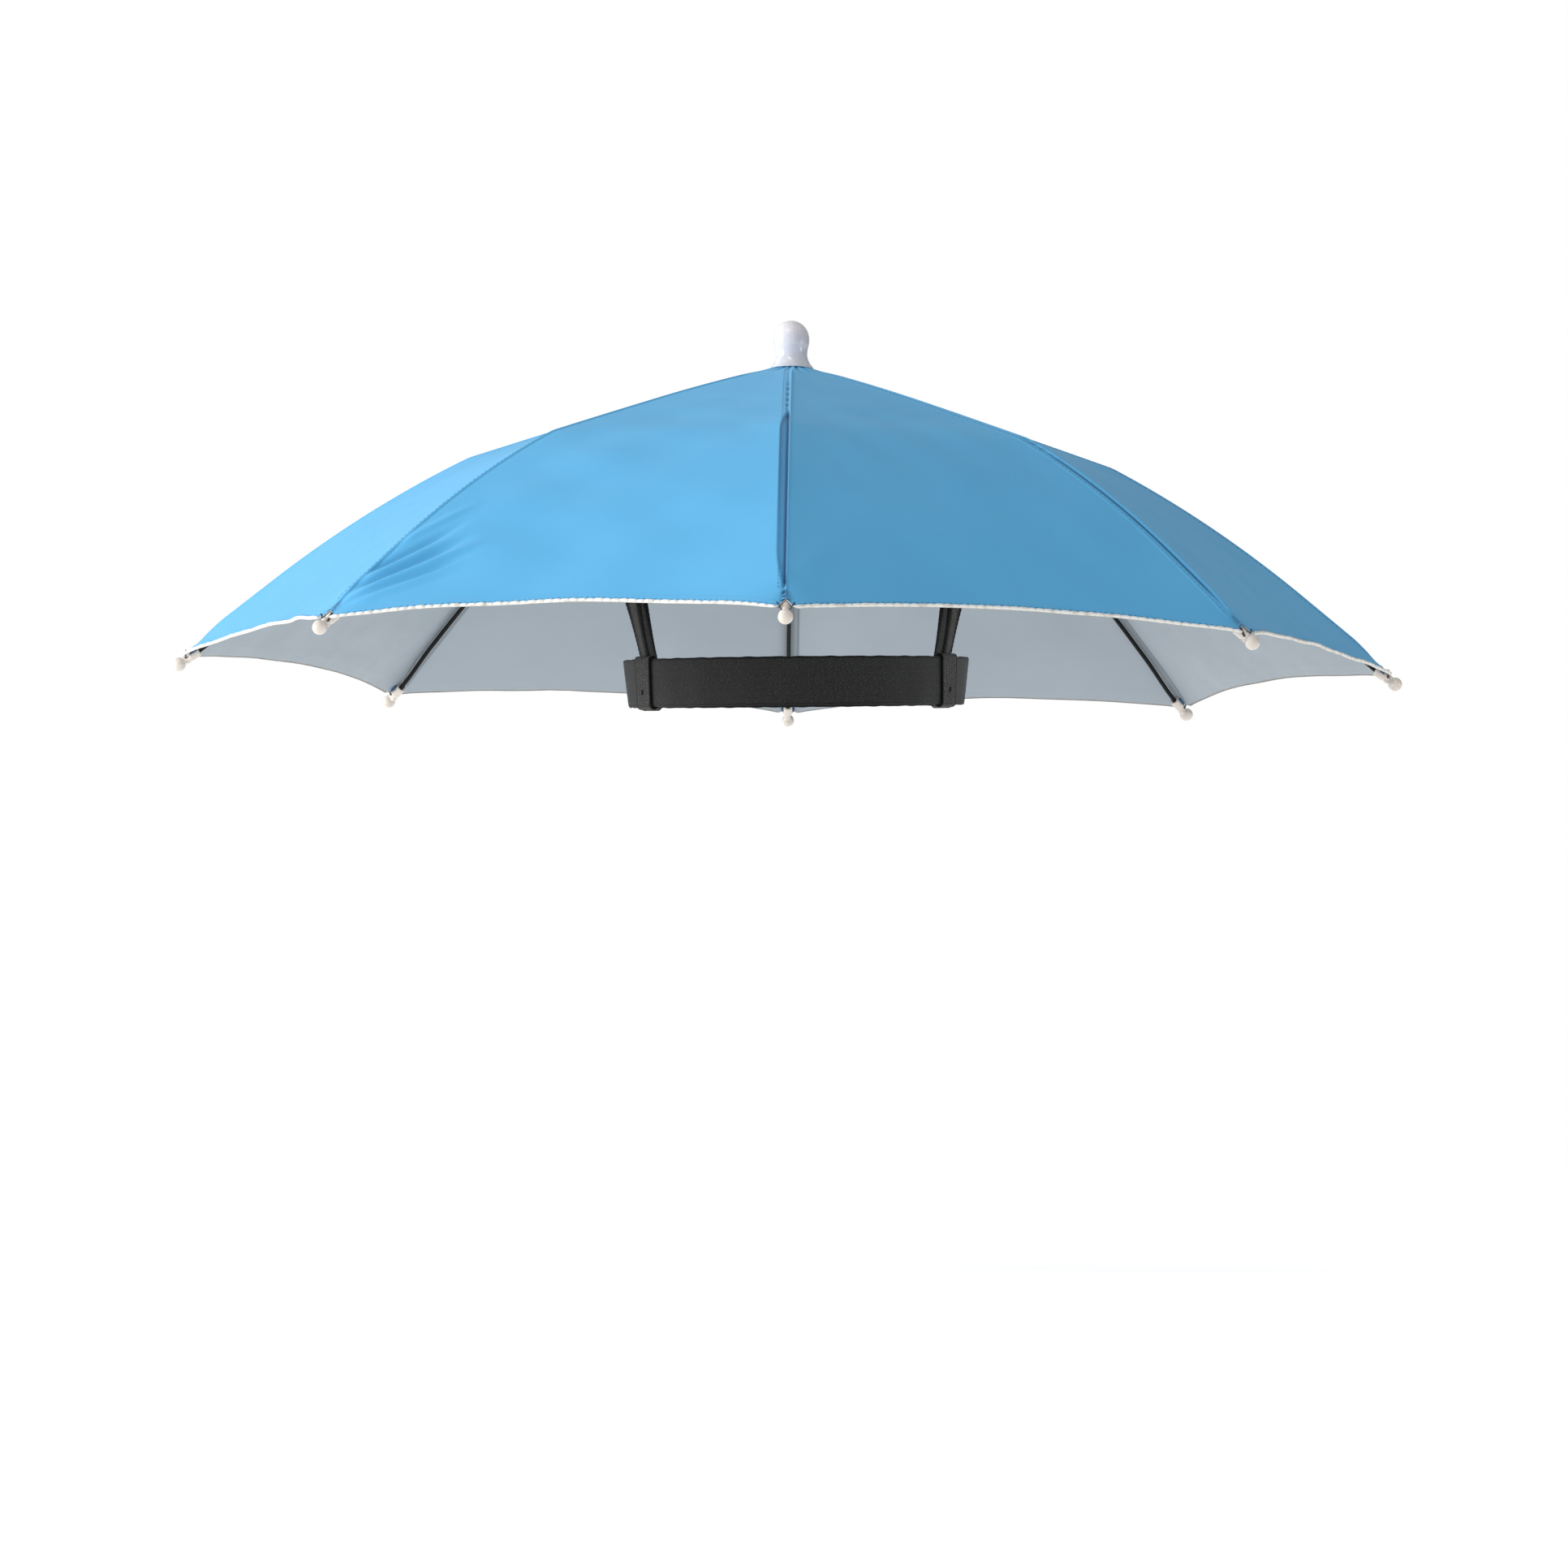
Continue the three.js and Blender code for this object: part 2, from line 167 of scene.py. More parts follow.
def outward_normals(mesh: Mesh, merge: float = 1e-7) -> None:
    """Merge doubled vertices and turn every face of a closed mesh outwards.

    Args:
        mesh: A closed mesh.
        merge: Distance in metres within which vertices are one.
    """
    work = bmesh.new()
    work.from_mesh(mesh)
    bmesh.ops.remove_doubles(work, verts=work.verts, dist=merge)
    bmesh.ops.recalc_face_normals(work, faces=work.faces)
    work.to_mesh(mesh)
    work.free()
    mesh.update()


def turned(name: str, profile: Sequence[tuple[float, float]], sides: int) -> Mesh:
    """Turn a profile round the vertical axis into a closed body.

    Args:
        name: Name of the mesh.
        profile: Radius and height of each point, from one end of the axis to the other.
        sides: Number of vertices round the axis.

    Returns:
        The closed mesh, with its poles merged.
    """
    points = []
    for radius, height in profile:
        for side in range(sides):
            turn = 2 * math.pi * side / sides
            points.append((radius * math.sin(turn), -radius * math.cos(turn), height))
    mesh = mesh_of(name, points, ring_faces(len(profile), sides))
    outward_normals(mesh)
    mesh.shade_smooth()
    return mesh


def bezier(controls: Sequence[tuple[float, float]], steps: int) -> list[tuple[float, float]]:
    """Points along a Bezier curve, its start left out.

    Args:
        controls: The curve's control points.
        steps: Number of points.

    Returns:
        The points, the curve's end included.
    """
    points = []
    for step in range(1, steps + 1):
        share, places = step / steps, np.array(controls)
        while len(places) > 1:
            places = places[:-1] * (1 - share) + places[1:] * share
        points.append(tuple(places[0]))
    return points


class NodeBench:
    """Lays out the nodes of one tree and joins their sockets."""

    def __init__(self, tree: NodeTree) -> None:
        """Start on a tree."""
        self.tree = tree

    def node(
        self, kind: str, values: dict[str | int, object] | None = None, **settings: object
    ) -> Node:
        """Add a node.

        Args:
            kind: Blender's name for the node type.
            values: Input sockets by name or number, each with a constant or another node's output.
            settings: Properties of the node itself.

        Returns:
            The new node.
        """
        node = self.tree.nodes.new(kind)
        for key, value in settings.items():
            setattr(node, key, value)
        for key, value in (values or {}).items():
            self.feed(node.inputs[key], value)
        return node

    def feed(self, socket: NodeSocket, value: object) -> None:
        """Give an input a constant or join it to an output.

        Args:
            socket: The input.
            value: A constant or a node's output.
        """
        if isinstance(value, NodeSocket):
            self.tree.links.new(value, socket)
        else:
            socket.default_value = value

    def math(self, operation: str, first: object, second: object = 0.0) -> NodeSocket:
        """Add one arithmetic step and give its result."""
        return self.node("ShaderNodeMath", {0: first, 1: second}, operation=operation).outputs[0]

    def vector(self, operation: str, first: object, second: object) -> NodeSocket:
        """Add one vector step and give its result."""
        return self.node("ShaderNodeVectorMath", {0: first, 1: second}, operation=operation).outputs[0]


class Finish:
    """A procedural finish: a Principled shader with its pattern, relief and wear, and on some the painted
    shade that the mesh carries.
    """

    def __init__(self, name: str) -> None:
        """Start an empty material.

        Args:
            name: Name of the material.
        """
        self.material = bpy.data.materials.new(name)
        self.material.use_nodes = True
        self.bench = NodeBench(self.material.node_tree)
        self.shader = self.material.node_tree.nodes["Principled BSDF"]

    def set(self, **values: object) -> None:
        """Set the shader's own sockets, with underscores for the spaces in their names."""
        for key, value in values.items():
            self.bench.feed(self.shader.inputs[key.replace("_", " ")], value)

    def object_place(self) -> NodeSocket:
        """Place on the piece, in metres."""
        return self.bench.node("ShaderNodeTexCoord").outputs["Object"]

    def chart(self) -> NodeSocket:
        """Place on the piece's own UV map, in metres of cloth."""
        return self.bench.node("ShaderNodeUVMap", uv_map="cloth").outputs["UV"]

    def noise(
        self, place: object, scale: float, detail: float = 2.0, rough: float = 0.5
    ) -> NodeSocket:
        """Grey noise from 0 to 1."""
        values = {"Vector": place, "Scale": scale, "Detail": detail, "Roughness": rough}
        return self.bench.node("ShaderNodeTexNoise", values).outputs["Fac"]

    def spread(
        self, value: object, low: float, high: float, out_low: float, out_high: float
    ) -> NodeSocket:
        """Map a range of a value to another range."""
        values = {"Value": value, "From Min": low, "From Max": high, "To Min": out_low, "To Max": out_high}
        return self.bench.node("ShaderNodeMapRange", values).outputs["Result"]

    def blend(self, share: object, first: object, second: object) -> NodeSocket:
        """Mix two colours."""
        return self.bench.node("ShaderNodeMix", {0: share, 6: first, 7: second}, data_type="RGBA").outputs[2]

    def attribute(self, name: str) -> NodeSocket:
        """A value that the mesh carries."""
        return self.bench.node("ShaderNodeAttribute", attribute_name=name).outputs["Fac"]

    def weave(self, place: object, pitch_across: float, pitch_along: float) -> NodeSocket:
        """Over-and-under relief of a plain weave, from -1 to 1."""
        parts = self.bench.node("ShaderNodeSeparateXYZ", {"Vector": place}).outputs
        across = self.wave(parts["X"], pitch_across)
        return self.bench.math("MULTIPLY", across, self.wave(parts["Y"], pitch_along))

    def wave(self, run: object, pitch: float) -> NodeSocket:
        """Even waves along a run, from -1 to 1."""
        return self.bench.math("SINE", self.bench.math("MULTIPLY", run, 2 * math.pi / pitch))

    def grain(self, place: object, scale: tuple[float, float, float], detail: float) -> NodeSocket:
        """Grey noise drawn out along the weave, from 0 to 1."""
        return self.noise(self.bench.vector("MULTIPLY", place, scale), 1.0, detail)

    def relief(self, height: object, strength: float, distance: float, under: object | None = None) -> object:
        """Bump the shader's normal.

        Args:
            height: Height of the relief.
            strength: Share of the relief that shows.
            distance: Depth in metres for a height of 1.
            under: A normal that this relief is laid over.

        Returns:
            The bumped normal.
        """
        values = {"Height": height, "Strength": strength, "Distance": distance}
        if under is not None:
            values["Normal"] = under
        normal = self.bench.node("ShaderNodeBump", values).outputs["Normal"]
        self.bench.feed(self.shader.inputs["Normal"], normal)
        return normal


def channel(value: int) -> float:
    """One channel of a display colour, made linear."""
    share = value / 255.0
    return share / 12.92 if share <= 0.04045 else ((share + 0.055) / 1.055) ** 2.4


def linear(red: int, green: int, blue: int) -> tuple[float, float, float, float]:
    """A display colour as the scene-linear colour that the shaders take."""
    return (channel(red), channel(green), channel(blue), 1.0)


@dataclass(frozen=True)
class CanopyCloth:
    """Sky-blue satin-woven polyester, with painted shade in its seams' grooves and pleat, its folds' valleys,
    its corners by the tips and its pockets over the tips.
    """

    colour: tuple[int, int, int] = (86, 172, 221)
    painted_shade_and_tone: tuple[int, int, int] = (22, 62, 104)
    thread: float = 0.00042

    def material(self) -> Material:
        """Make the material.

        Returns:
            The new material.
        """
        finish = Finish("canopy_cloth_blue")
        chart = finish.chart()
        place = finish.object_place()
        cloud = finish.spread(finish.noise(place, 14.0, 3.0), 0.3, 0.7, 0.0, 0.5)
        light = linear(*(min(255, value + 9) for value in self.colour))
        base = finish.blend(cloud, linear(*self.colour), light)
        slub = finish.spread(finish.grain(chart, (2600.0, 160.0, 1.0), 2.0), 0.35, 0.65, 0.0, 0.10)
        threaded = finish.blend(slub, base, linear(*(value - 20 for value in self.colour)))
        # Painted shade: where the mesh's shade is high the blue turns to the dark shade colour.
        with_tone_and_painted_shade = finish.blend(finish.attribute("shade"), threaded, linear(*self.painted_shade_and_tone))
        finish.set(Base_Color=with_tone_and_painted_shade, Roughness=0.55, Specular_IOR_Level=0.22)
        finish.set(Sheen_Weight=0.06, Sheen_Roughness=0.5, Sheen_Tint=(0.75, 0.88, 1.0, 1.0))
        fine = finish.relief(finish.weave(chart, self.thread, self.thread), 0.35, 0.00004)
        finish.relief(finish.noise(place, 60.0, 3.0), 0.25, 0.0006, fine)
        return finish.material


@dataclass(frozen=True)
class SilverLining:
    """The silver coating on the underside of the cloth, its seam allowances darker in tone, with painted
    shade along their edges and in the seam creases.
    """

    colour: tuple[int, int, int] = (158, 168, 176)
    painted_shade_and_tone: tuple[int, int, int] = (58, 66, 72)
    thread: float = 0.00042

    def material(self) -> Material:
        """Make the material.

        Returns:
            The new material.
        """
        finish = Finish("canopy_lining_silver")
        chart = finish.chart()
        place = finish.object_place()
        cloud = finish.spread(finish.noise(place, 18.0, 4.0), 0.3, 0.7, 0.0, 0.6)
        base = finish.blend(cloud, linear(*self.colour), linear(*(value - 9 for value in self.colour)))
        # The allowance strips' darker tone, and painted shade along their edges and in the seam creases.
        with_tone_and_painted_shade = finish.blend(finish.attribute("shade"), base, linear(*self.painted_shade_and_tone))
        finish.set(Base_Color=with_tone_and_painted_shade, Metallic=0.12, Specular_IOR_Level=0.5)
        finish.set(Roughness=finish.spread(finish.noise(place, 90.0, 2.0), 0.3, 0.7, 0.42, 0.55))
        fine = finish.relief(finish.weave(chart, self.thread, self.thread), 0.3, 0.00003)
        finish.relief(finish.noise(place, 45.0, 3.0), 0.3, 0.0008, fine)
        return finish.material


@dataclass(frozen=True)
class HemEdge:
    """The silver-white edge of the hem, gathered by its stitches, with painted shade on the inner, under side
    of its roll.
    """

    colour: tuple[int, int, int] = (224, 224, 219)
    worn: tuple[int, int, int] = (176, 168, 157)
    painted_shade_and_tone: tuple[int, int, int] = (58, 64, 70)

    def material(self) -> Material:
        """Make the material.

        Returns:
            The new material.
        """
        finish = Finish("hem_edge_silver")
        place = finish.object_place()
        spots = finish.spread(finish.noise(place, 260.0, 3.0), 0.5, 0.75, 0.0, 0.7)
        plain = finish.blend(spots, linear(*self.colour), linear(*self.worn))
        # Painted shade on the inner, under side of the roll, where the mesh's shade is high.
        finish.set(Base_Color=finish.blend(finish.attribute("shade"), plain, linear(*self.painted_shade_and_tone)))
        finish.set(Roughness=0.5, Specular_IOR_Level=0.45)
        finish.relief(finish.noise(place, 1500.0, 2.0), 0.4, 0.0001)
        return finish.material


@dataclass(frozen=True)
class Thread:
    """Twisted sewing thread."""

    name: str
    colour: tuple[int, int, int]

    def material(self) -> Material:
        """Make the material.

        Returns:
            The new material.
        """
        finish = Finish(self.name)
        place = finish.object_place()
        fleck = finish.spread(finish.noise(place, 1900.0, 2.0), 0.3, 0.7, 0.0, 0.6)
        dark = linear(*(value // 2 for value in self.colour))
        finish.set(Base_Color=finish.blend(fleck, linear(*self.colour), dark))
        finish.set(Roughness=0.6, Sheen_Weight=0.3)
        finish.relief(finish.noise(place, 3200.0, 1.0), 0.5, 0.00008)
        return finish.material


@dataclass(frozen=True)
class PaintedWire:
    """Black lacquer on the rib wire, with a little of the steel showing through."""

    colour: tuple[int, int, int] = (8, 8, 9)
    steel: tuple[int, int, int] = (70, 72, 74)

    def material(self) -> Material:
        """Make the material.

        Returns:
            The new material.
        """
        finish = Finish("rib_wire_black")
        place = finish.object_place()
        chips = finish.spread(finish.noise(place, 900.0, 4.0, 0.7), 0.66, 0.72, 0.0, 1.0)
        finish.set(Base_Color=finish.blend(chips, linear(*self.colour), linear(*self.steel)))
        finish.set(Roughness=finish.spread(finish.noise(place, 500.0, 2.0), 0.3, 0.7, 0.42, 0.55))
        finish.set(Specular_IOR_Level=0.2)
        finish.relief(finish.noise(place, 1200.0, 2.0), 0.3, 0.00004)
        return finish.material


@dataclass(frozen=True)
class MouldedPlastic:
    """Glossy moulded nylon with faint flow marks."""

    name: str
    colour: tuple[int, int, int]
    shadow: tuple[int, int, int]
    roughness: float = 0.3
    coat: float = 0.3
    glow: float = 0.0
    depth: float = 1.0

    def material(self) -> Material:
        """Make the material.

        Returns:
            The new material.
        """
        finish = Finish(self.name)
        place = finish.object_place()
        flow = finish.spread(finish.noise(place, 110.0, 3.0), 0.3, 0.7, 0.0, 1.0)
        finish.set(Base_Color=finish.blend(flow, linear(*self.colour), linear(*self.shadow)))
        fine, coarse = self.roughness - 0.04, self.roughness + 0.05
        finish.set(Roughness=finish.spread(finish.noise(place, 700.0, 2.0), 0.3, 0.7, fine, coarse))
        finish.set(Coat_Weight=self.coat, Coat_Roughness=0.12, IOR=1.52)
        if self.glow:
            finish.set(Subsurface_Weight=self.glow, Subsurface_Scale=self.depth)
            finish.set(Subsurface_Radius=(0.0015, 0.0012, 0.0009))
        finish.relief(finish.noise(place, 260.0, 1.0), 0.2, 0.00002)
        return finish.material


@dataclass(frozen=True)
class KnitElastic:
    """Black braided elastic: lengthwise cords crossed by fine picks."""

    colour: tuple[int, int, int] = (32, 32, 31)
    fleck: tuple[int, int, int] = (78, 78, 76)
    edge: tuple[int, int, int] = (8, 8, 8)
    cord: float = 0.0016
    pick: float = 0.0011

    def material(self) -> Material:
        """Make the material.

        Returns:
            The new material.
        """
        finish = Finish("band_elastic_black")
        chart = finish.chart()
        weave = finish.weave(chart, self.pick, self.cord)
        grain = finish.grain(chart, (900.0, 2600.0, 1.0), 2.0)
        fleck = finish.spread(grain, 0.52, 0.8, 0.0, 0.75)
        plain = finish.blend(fleck, linear(*self.colour), linear(*self.fleck))
        finish.set(Base_Color=finish.blend(finish.attribute("shade"), plain, linear(*self.edge)))
        finish.set(Roughness=0.9, Specular_IOR_Level=0.2, Sheen_Weight=0.12, Sheen_Roughness=0.5)
        fine = finish.relief(weave, 0.7, 0.00012)
        finish.relief(grain, 0.4, 0.0001, fine)
        return finish.material


@dataclass(frozen=True)
class WovenWebbing:
    """Dark grey webbing in a fine twill, mottled, with near-black edges and bar tack, and painted shade in
    its loops' valleys.
    """

    colour: tuple[int, int, int] = (54, 53, 52)
    fleck: tuple[int, int, int] = (124, 121, 117)
    edge: tuple[int, int, int] = (6, 6, 6)
    pitch: float = 0.0014

    def material(self) -> Material:
        """Make the material.

        Returns:
            The new material.
        """
        finish = Finish("strap_webbing_grey")
        chart = finish.chart()
        parts = finish.bench.node("ShaderNodeSeparateXYZ", {"Vector": chart})
        slant = finish.bench.math("ADD", parts.outputs["X"], parts.outputs["Y"])
        twill = finish.wave(slant, self.pitch)
        grain = finish.grain(chart, (2400.0, 1100.0, 1.0), 3.0)
        fleck = finish.spread(grain, 0.48, 0.78, 0.0, 0.8)
        base = finish.blend(fleck, linear(*self.colour), linear(*self.fleck))
        # The mesh's shade gives the near-black edges and bar tack, and painted shade in the loops' valleys.
        dark = finish.blend(finish.attribute("shade"), base, linear(*self.edge))
        finish.set(Base_Color=dark, Roughness=0.9, Specular_IOR_Level=0.12, Sheen_Weight=0.06)
        fine = finish.relief(twill, 0.6, 0.00014)
        finish.relief(grain, 0.4, 0.00012, fine)
        return finish.material


@dataclass(frozen=True)
class StudioFloor:
    """Plain white floor with the faintest mottling, its far part as bright as the sky behind it."""

    near: float = 0.9
    far: float = 2.4
    near_glow: float = 0.46
    far_glow: float = 0.6

    def material(self) -> Material:
        """Make the material.

        Returns:
            The new material.
        """
        finish = Finish("studio_floor_white")
        tone = finish.spread(finish.noise(finish.object_place(), 3.0), 0.3, 0.7, 0.0, 1.0)
        finish.set(Base_Color=finish.blend(tone, (0.93, 0.93, 0.93, 1.0), (0.95, 0.95, 0.95, 1.0)))
        finish.set(Roughness=0.9)
        reach = finish.bench.node("ShaderNodeVectorMath", {0: finish.object_place()}, operation="LENGTH")
        glow = finish.spread(reach.outputs["Value"], self.near, self.far, self.near_glow, self.far_glow)
        finish.set(Emission_Color=(1.0, 1.0, 1.0, 1.0), Emission_Strength=glow)
        return finish.material


class Recipe:
    """A geometry node tree with named sizes that ends in Realize Instances and Set Material."""

    def __init__(self, name: str) -> None:
        """Start a tree whose first input and only output are a geometry.

        Args:
            name: Name of the tree.
        """
        self.tree = bpy.data.node_groups.new(name, "GeometryNodeTree")
        self.tree.interface.new_socket("Geometry", in_out="INPUT", socket_type="NodeSocketGeometry")
        self.tree.interface.new_socket("Geometry", in_out="OUTPUT", socket_type="NodeSocketGeometry")
        self.bench = NodeBench(self.tree)
        self.entry = self.bench.node("NodeGroupInput")
        self.exit = self.bench.node("NodeGroupOutput")
        self.sizes: dict[str, float | int] = {}

    def size(self, name: str, value: float | int) -> NodeSocket:
        """Add a named input with its value and give its output inside the tree.

        Args:
            name: Name of the input.
            value: What the bake sets it to.

        Returns:
            The input's socket.
        """
        kind = "NodeSocketInt" if isinstance(value, int) else "NodeSocketFloat"
        self.tree.interface.new_socket(name, in_out="INPUT", socket_type=kind)
        self.sizes[name] = value
        return self.entry.outputs[name]

    def drawn(self) -> NodeSocket:
        """The geometry that the tree is given."""
        return self.entry.outputs["Geometry"]

    def round_the_axis(self, geometry: object, count: object) -> NodeSocket:
        """Repeat a geometry at even turns round the vertical axis.

        Args:
            geometry: What to repeat.
            count: How often.

        Returns:
            The instances.
        """
        places = self.bench.node("GeometryNodePoints", {"Count": count})
        index = self.bench.node("GeometryNodeInputIndex").outputs[0]
        step = self.bench.math("DIVIDE", 2 * math.pi, count)
        turn = self.bench.node("ShaderNodeCombineXYZ", {"Z": self.bench.math("MULTIPLY", index, step)})
        values = {"Points": places.outputs[0], "Instance": geometry, "Rotation": turn.outputs[0]}
        return self.bench.node("GeometryNodeInstanceOnPoints", values).outputs["Instances"]

    def along_the_path(
        self,
        path: object,
        shape: object,
        pitch: object,
        scale_low: object,
        scale_high: object,
        seed: object,
    ) -> NodeSocket:
        """Set a shape at even steps along a path, its Z axis along the path.

        Args:
            path: Mesh edges that form the path.
            shape: The geometry to set.
            pitch: Distance between two of them.
            scale_low: Smallest random scale.
            scale_high: Largest random scale.
            seed: Seed of the random scale.

        Returns:
            The instances.
        """
        curve = self.bench.node("GeometryNodeMeshToCurve", {"Mesh": path}).outputs["Curve"]
        steps = self.bench.node("GeometryNodeCurveToPoints", {"Curve": curve, "Length": pitch}, mode="LENGTH")
        chance = self.bench.node("FunctionNodeRandomValue", data_type="FLOAT")
        for key, value in (("Min", scale_low), ("Max", scale_high), ("Seed", seed)):
            socket = [one for one in chance.inputs if one.name == key and one.enabled][0]
            self.bench.feed(socket, value)
        scale = [one for one in chance.outputs if one.enabled][0]
        values = {
            "Points": steps.outputs["Points"],
            "Instance": shape,
            "Rotation": steps.outputs["Rotation"],
            "Scale": scale,
        }
        return self.bench.node("GeometryNodeInstanceOnPoints", values).outputs["Instances"]

    def tube(self, radius: object, sides: int) -> NodeSocket:
        """Sweep a round section along the drawn path.

        Args:
            radius: The section's radius.
            sides: Its number of sides.

        Returns:
            The swept mesh.
        """
        curve = self.bench.node("GeometryNodeMeshToCurve", {"Mesh": self.drawn()}).outputs["Curve"]
        section = self.bench.node("GeometryNodeCurvePrimitiveCircle", {"Resolution": sides, "Radius": radius})
        values = {"Curve": curve, "Profile Curve": section.outputs["Curve"], "Fill Caps": True}
        return self.bench.node("GeometryNodeCurveToMesh", values).outputs["Mesh"]

    def bead(
        self, long: object, wide: object, high: object, segments: int = 8, rings: int = 5
    ) -> NodeSocket:
        """A rounded bead with its length along Z.

        Args:
            long: Size along Z.
            wide: Size along Y.
            high: Size along X.
            segments: Faces round it.
            rings: Rows of faces.

        Returns:
            The bead.
        """
        sizes = {"Segments": segments, "Rings": rings, "Radius": 0.5}
        ball = self.bench.node("GeometryNodeMeshUVSphere", sizes)
        shape = self.bench.node("ShaderNodeCombineXYZ", {"X": high, "Y": wide, "Z": long})
        values = {"Geometry": ball.outputs["Mesh"], "Scale": shape.outputs[0]}
        return self.bench.node("GeometryNodeTransform", values).outputs["Geometry"]

    def finish(self, geometry: object, material: Material) -> None:
        """Realize the instances, shade them smooth and set their material.

        Args:
            geometry: What the tree has made.
            material: Its material.
        """
        real = self.bench.node("GeometryNodeRealizeInstances", {"Geometry": geometry}).outputs["Geometry"]
        even = self.bench.node("GeometryNodeSetShadeSmooth", {"Geometry": real}).outputs["Geometry"]
        dressed = self.bench.node("GeometryNodeSetMaterial", {"Geometry": even, "Material": material})
        self.bench.feed(self.exit.inputs["Geometry"], dressed.outputs["Geometry"])

    def bake(self, name: str, drawn: Mesh, material: Material) -> Object:
        """Run the tree on a drawn mesh and keep the result as a plain mesh.

        Args:
            name: Name of the piece.
            drawn: The mesh that the tree starts from.
            material: The material that the tree sets.

        Returns:
            The piece, with no modifier left on it.
        """
        piece = piece_of(name, drawn)
        modifier = piece.modifiers.new("recipe", "NODES")
        modifier.node_group = self.tree
        for item in self.tree.interface.items_tree:
            if item.item_type == "SOCKET" and item.in_out == "INPUT" and item.name in self.sizes:
                modifier[item.identifier] = self.sizes[item.name]
        depsgraph = bpy.context.evaluated_depsgraph_get()
        result = bpy.data.meshes.new_from_object(piece.evaluated_get(depsgraph))
        piece.modifiers.remove(modifier)
        piece.data = result
        result.name = name
        if not result.materials:
            result.materials.append(material)
        return piece


@dataclass(frozen=True)
class SeamRow:
    """One row of the cloth's fall along a seam: share of the radius, and the slope on either side of it."""

    share: float
    inside: float
    outside: float


@dataclass(frozen=True)
class CanopyForm:
    """The canopy's shape: what the cloth, ribs, tips, crown and straps all follow."""

    radius: float = 275 * MM
    crown_height: float = 145 * MM
    hem_rise: float = 10 * MM
    panel_sag: float = 3 * MM
    bend: float = 0.53
    rib_drop: float = 4.4 * MM
    socket_length: float = 8 * MM
    bead_drop: float = 3.6 * MM
    bead_reach: float = 3 * MM
    bend_width: float = 0.11
    bend_ease: float = 0.075
    rows: tuple[SeamRow, ...] = (
        SeamRow(0.0, 0.26, 0.26),
        SeamRow(0.3, 0.33, 0.33),
        SeamRow(0.53, 0.34, 0.51),
        SeamRow(0.7, 0.66, 0.66),
        SeamRow(0.85, 0.81, 0.81),
        SeamRow(1.0, 0.81, 0.81),
    )

    def chord(self, share: np.ndarray | float) -> np.ndarray | float:
        """Width of a panel at shares of the radius."""
        return 2 * self.radius * share * math.sin(HALF_PANEL)

    def slope(self, share: float) -> float:
        """How steeply the cloth falls along a seam at a share of the radius.

        Args:
            share: Share of the radius.

        Returns:
            Fall per unit of radius.
        """
        for start, end in zip(self.rows, self.rows[1:]):
            if share < end.share:
                part = (share - start.share) / (end.share - start.share)
                return start.outside + (end.inside - start.outside) * part
        return self.rows[-1].outside

    def height(self, share: np.ndarray) -> np.ndarray:
        """Height of a seam at shares of the radius.

        Args:
            share: Shares of the radius.

        Returns:
            Heights in metres.
        """
        share = np.asarray(share, dtype=float)
        fall = np.zeros_like(share)
        for start, end in zip(self.rows, self.rows[1:]):
            reach = np.clip(share - start.share, 0.0, end.share - start.share)
            slope = start.outside + (end.inside - start.outside) * reach / (end.share - start.share)
            fall += (start.outside + slope) / 2 * reach
        beyond = np.clip(share - 1.0, 0.0, None)
        return self.crown_height - (fall + beyond * self.rows[-1].outside) * self.radius

    def downhill(self, angle: float, share: float) -> Vector:
        """Direction down a seam."""
        return (outward(angle) - UP * self.slope(share)).normalized()

    def under_seam(self, angle: float, share: float, drop: float) -> Vector:
        """A point square below a seam's outer face.

        Args:
            angle: The seam's angle.
            share: Share of the radius.
            drop: Distance below the face.

        Returns:
            The point.
        """
        point = outward(angle) * share * self.radius
        point.z = float(self.height(np.array([share]))[0])
        inward = outward(angle + 90).cross(self.downhill(angle, share))
        return point + inward * drop

    def hemmed(self, share: np.ndarray, across: np.ndarray) -> np.ndarray:
        """Share of the radius after the hem's scallop has drawn the lower cloth in."""
        hem = 1.0 - (self.hem_rise / self.radius) * 4.0 * across * (1.0 - across)
        drawn = self.bend + (share - self.bend) / (1.0 - self.bend) * (hem - self.bend)
        return np.where(share <= self.bend, share, drawn)

    def cloth(self, panel: int, local: np.ndarray, across: np.ndarray) -> np.ndarray:
        """Points of the cloth's outer face.

        Args:
            panel: Index of the panel, counted from the front towards the right.
            local: Shares of the radius, already hemmed.
            across: Shares of the way from the panel's first seam to its second.

        Returns:
            The points, with their coordinates along the last axis.
        """
        first = outward(PANEL_ANGLE * panel)
        second = outward(PANEL_ANGLE * (panel + 1))
        plan = [first[axis] * (1 - across) + second[axis] * across for axis in range(2)]
        between = smooth(0.0, 0.22, np.minimum(across, 1 - across)) * bell(local, self.bend, self.bend_width)
        steps = np.linspace(-self.bend_ease, self.bend_ease, 7)
        eased = sum(self.height(local + step) for step in steps) / len(steps)
        height = self.height(local) * (1 - between) + eased * between
        height = height - self.panel_sag * local**2 * 4 * across * (1 - across)
        return np.stack([plan[0] * local * self.radius, plan[1] * local * self.radius, height], axis=-1)

    def socket_mouth(self) -> tuple[float, Vector]:
        """Share and place of the inner end of a tip's socket, on the front rib."""
        share = 1.0 - self.socket_length * self.downhill(0, 1).dot(outward(0)) / self.radius
        return share, self.under_seam(0, share, self.rib_drop)

    def bead_middle(self) -> Vector:
        """Middle of the front tip's bead."""
        return self.under_seam(0, 1, self.bead_drop) + self.downhill(0, 1) * self.bead_reach

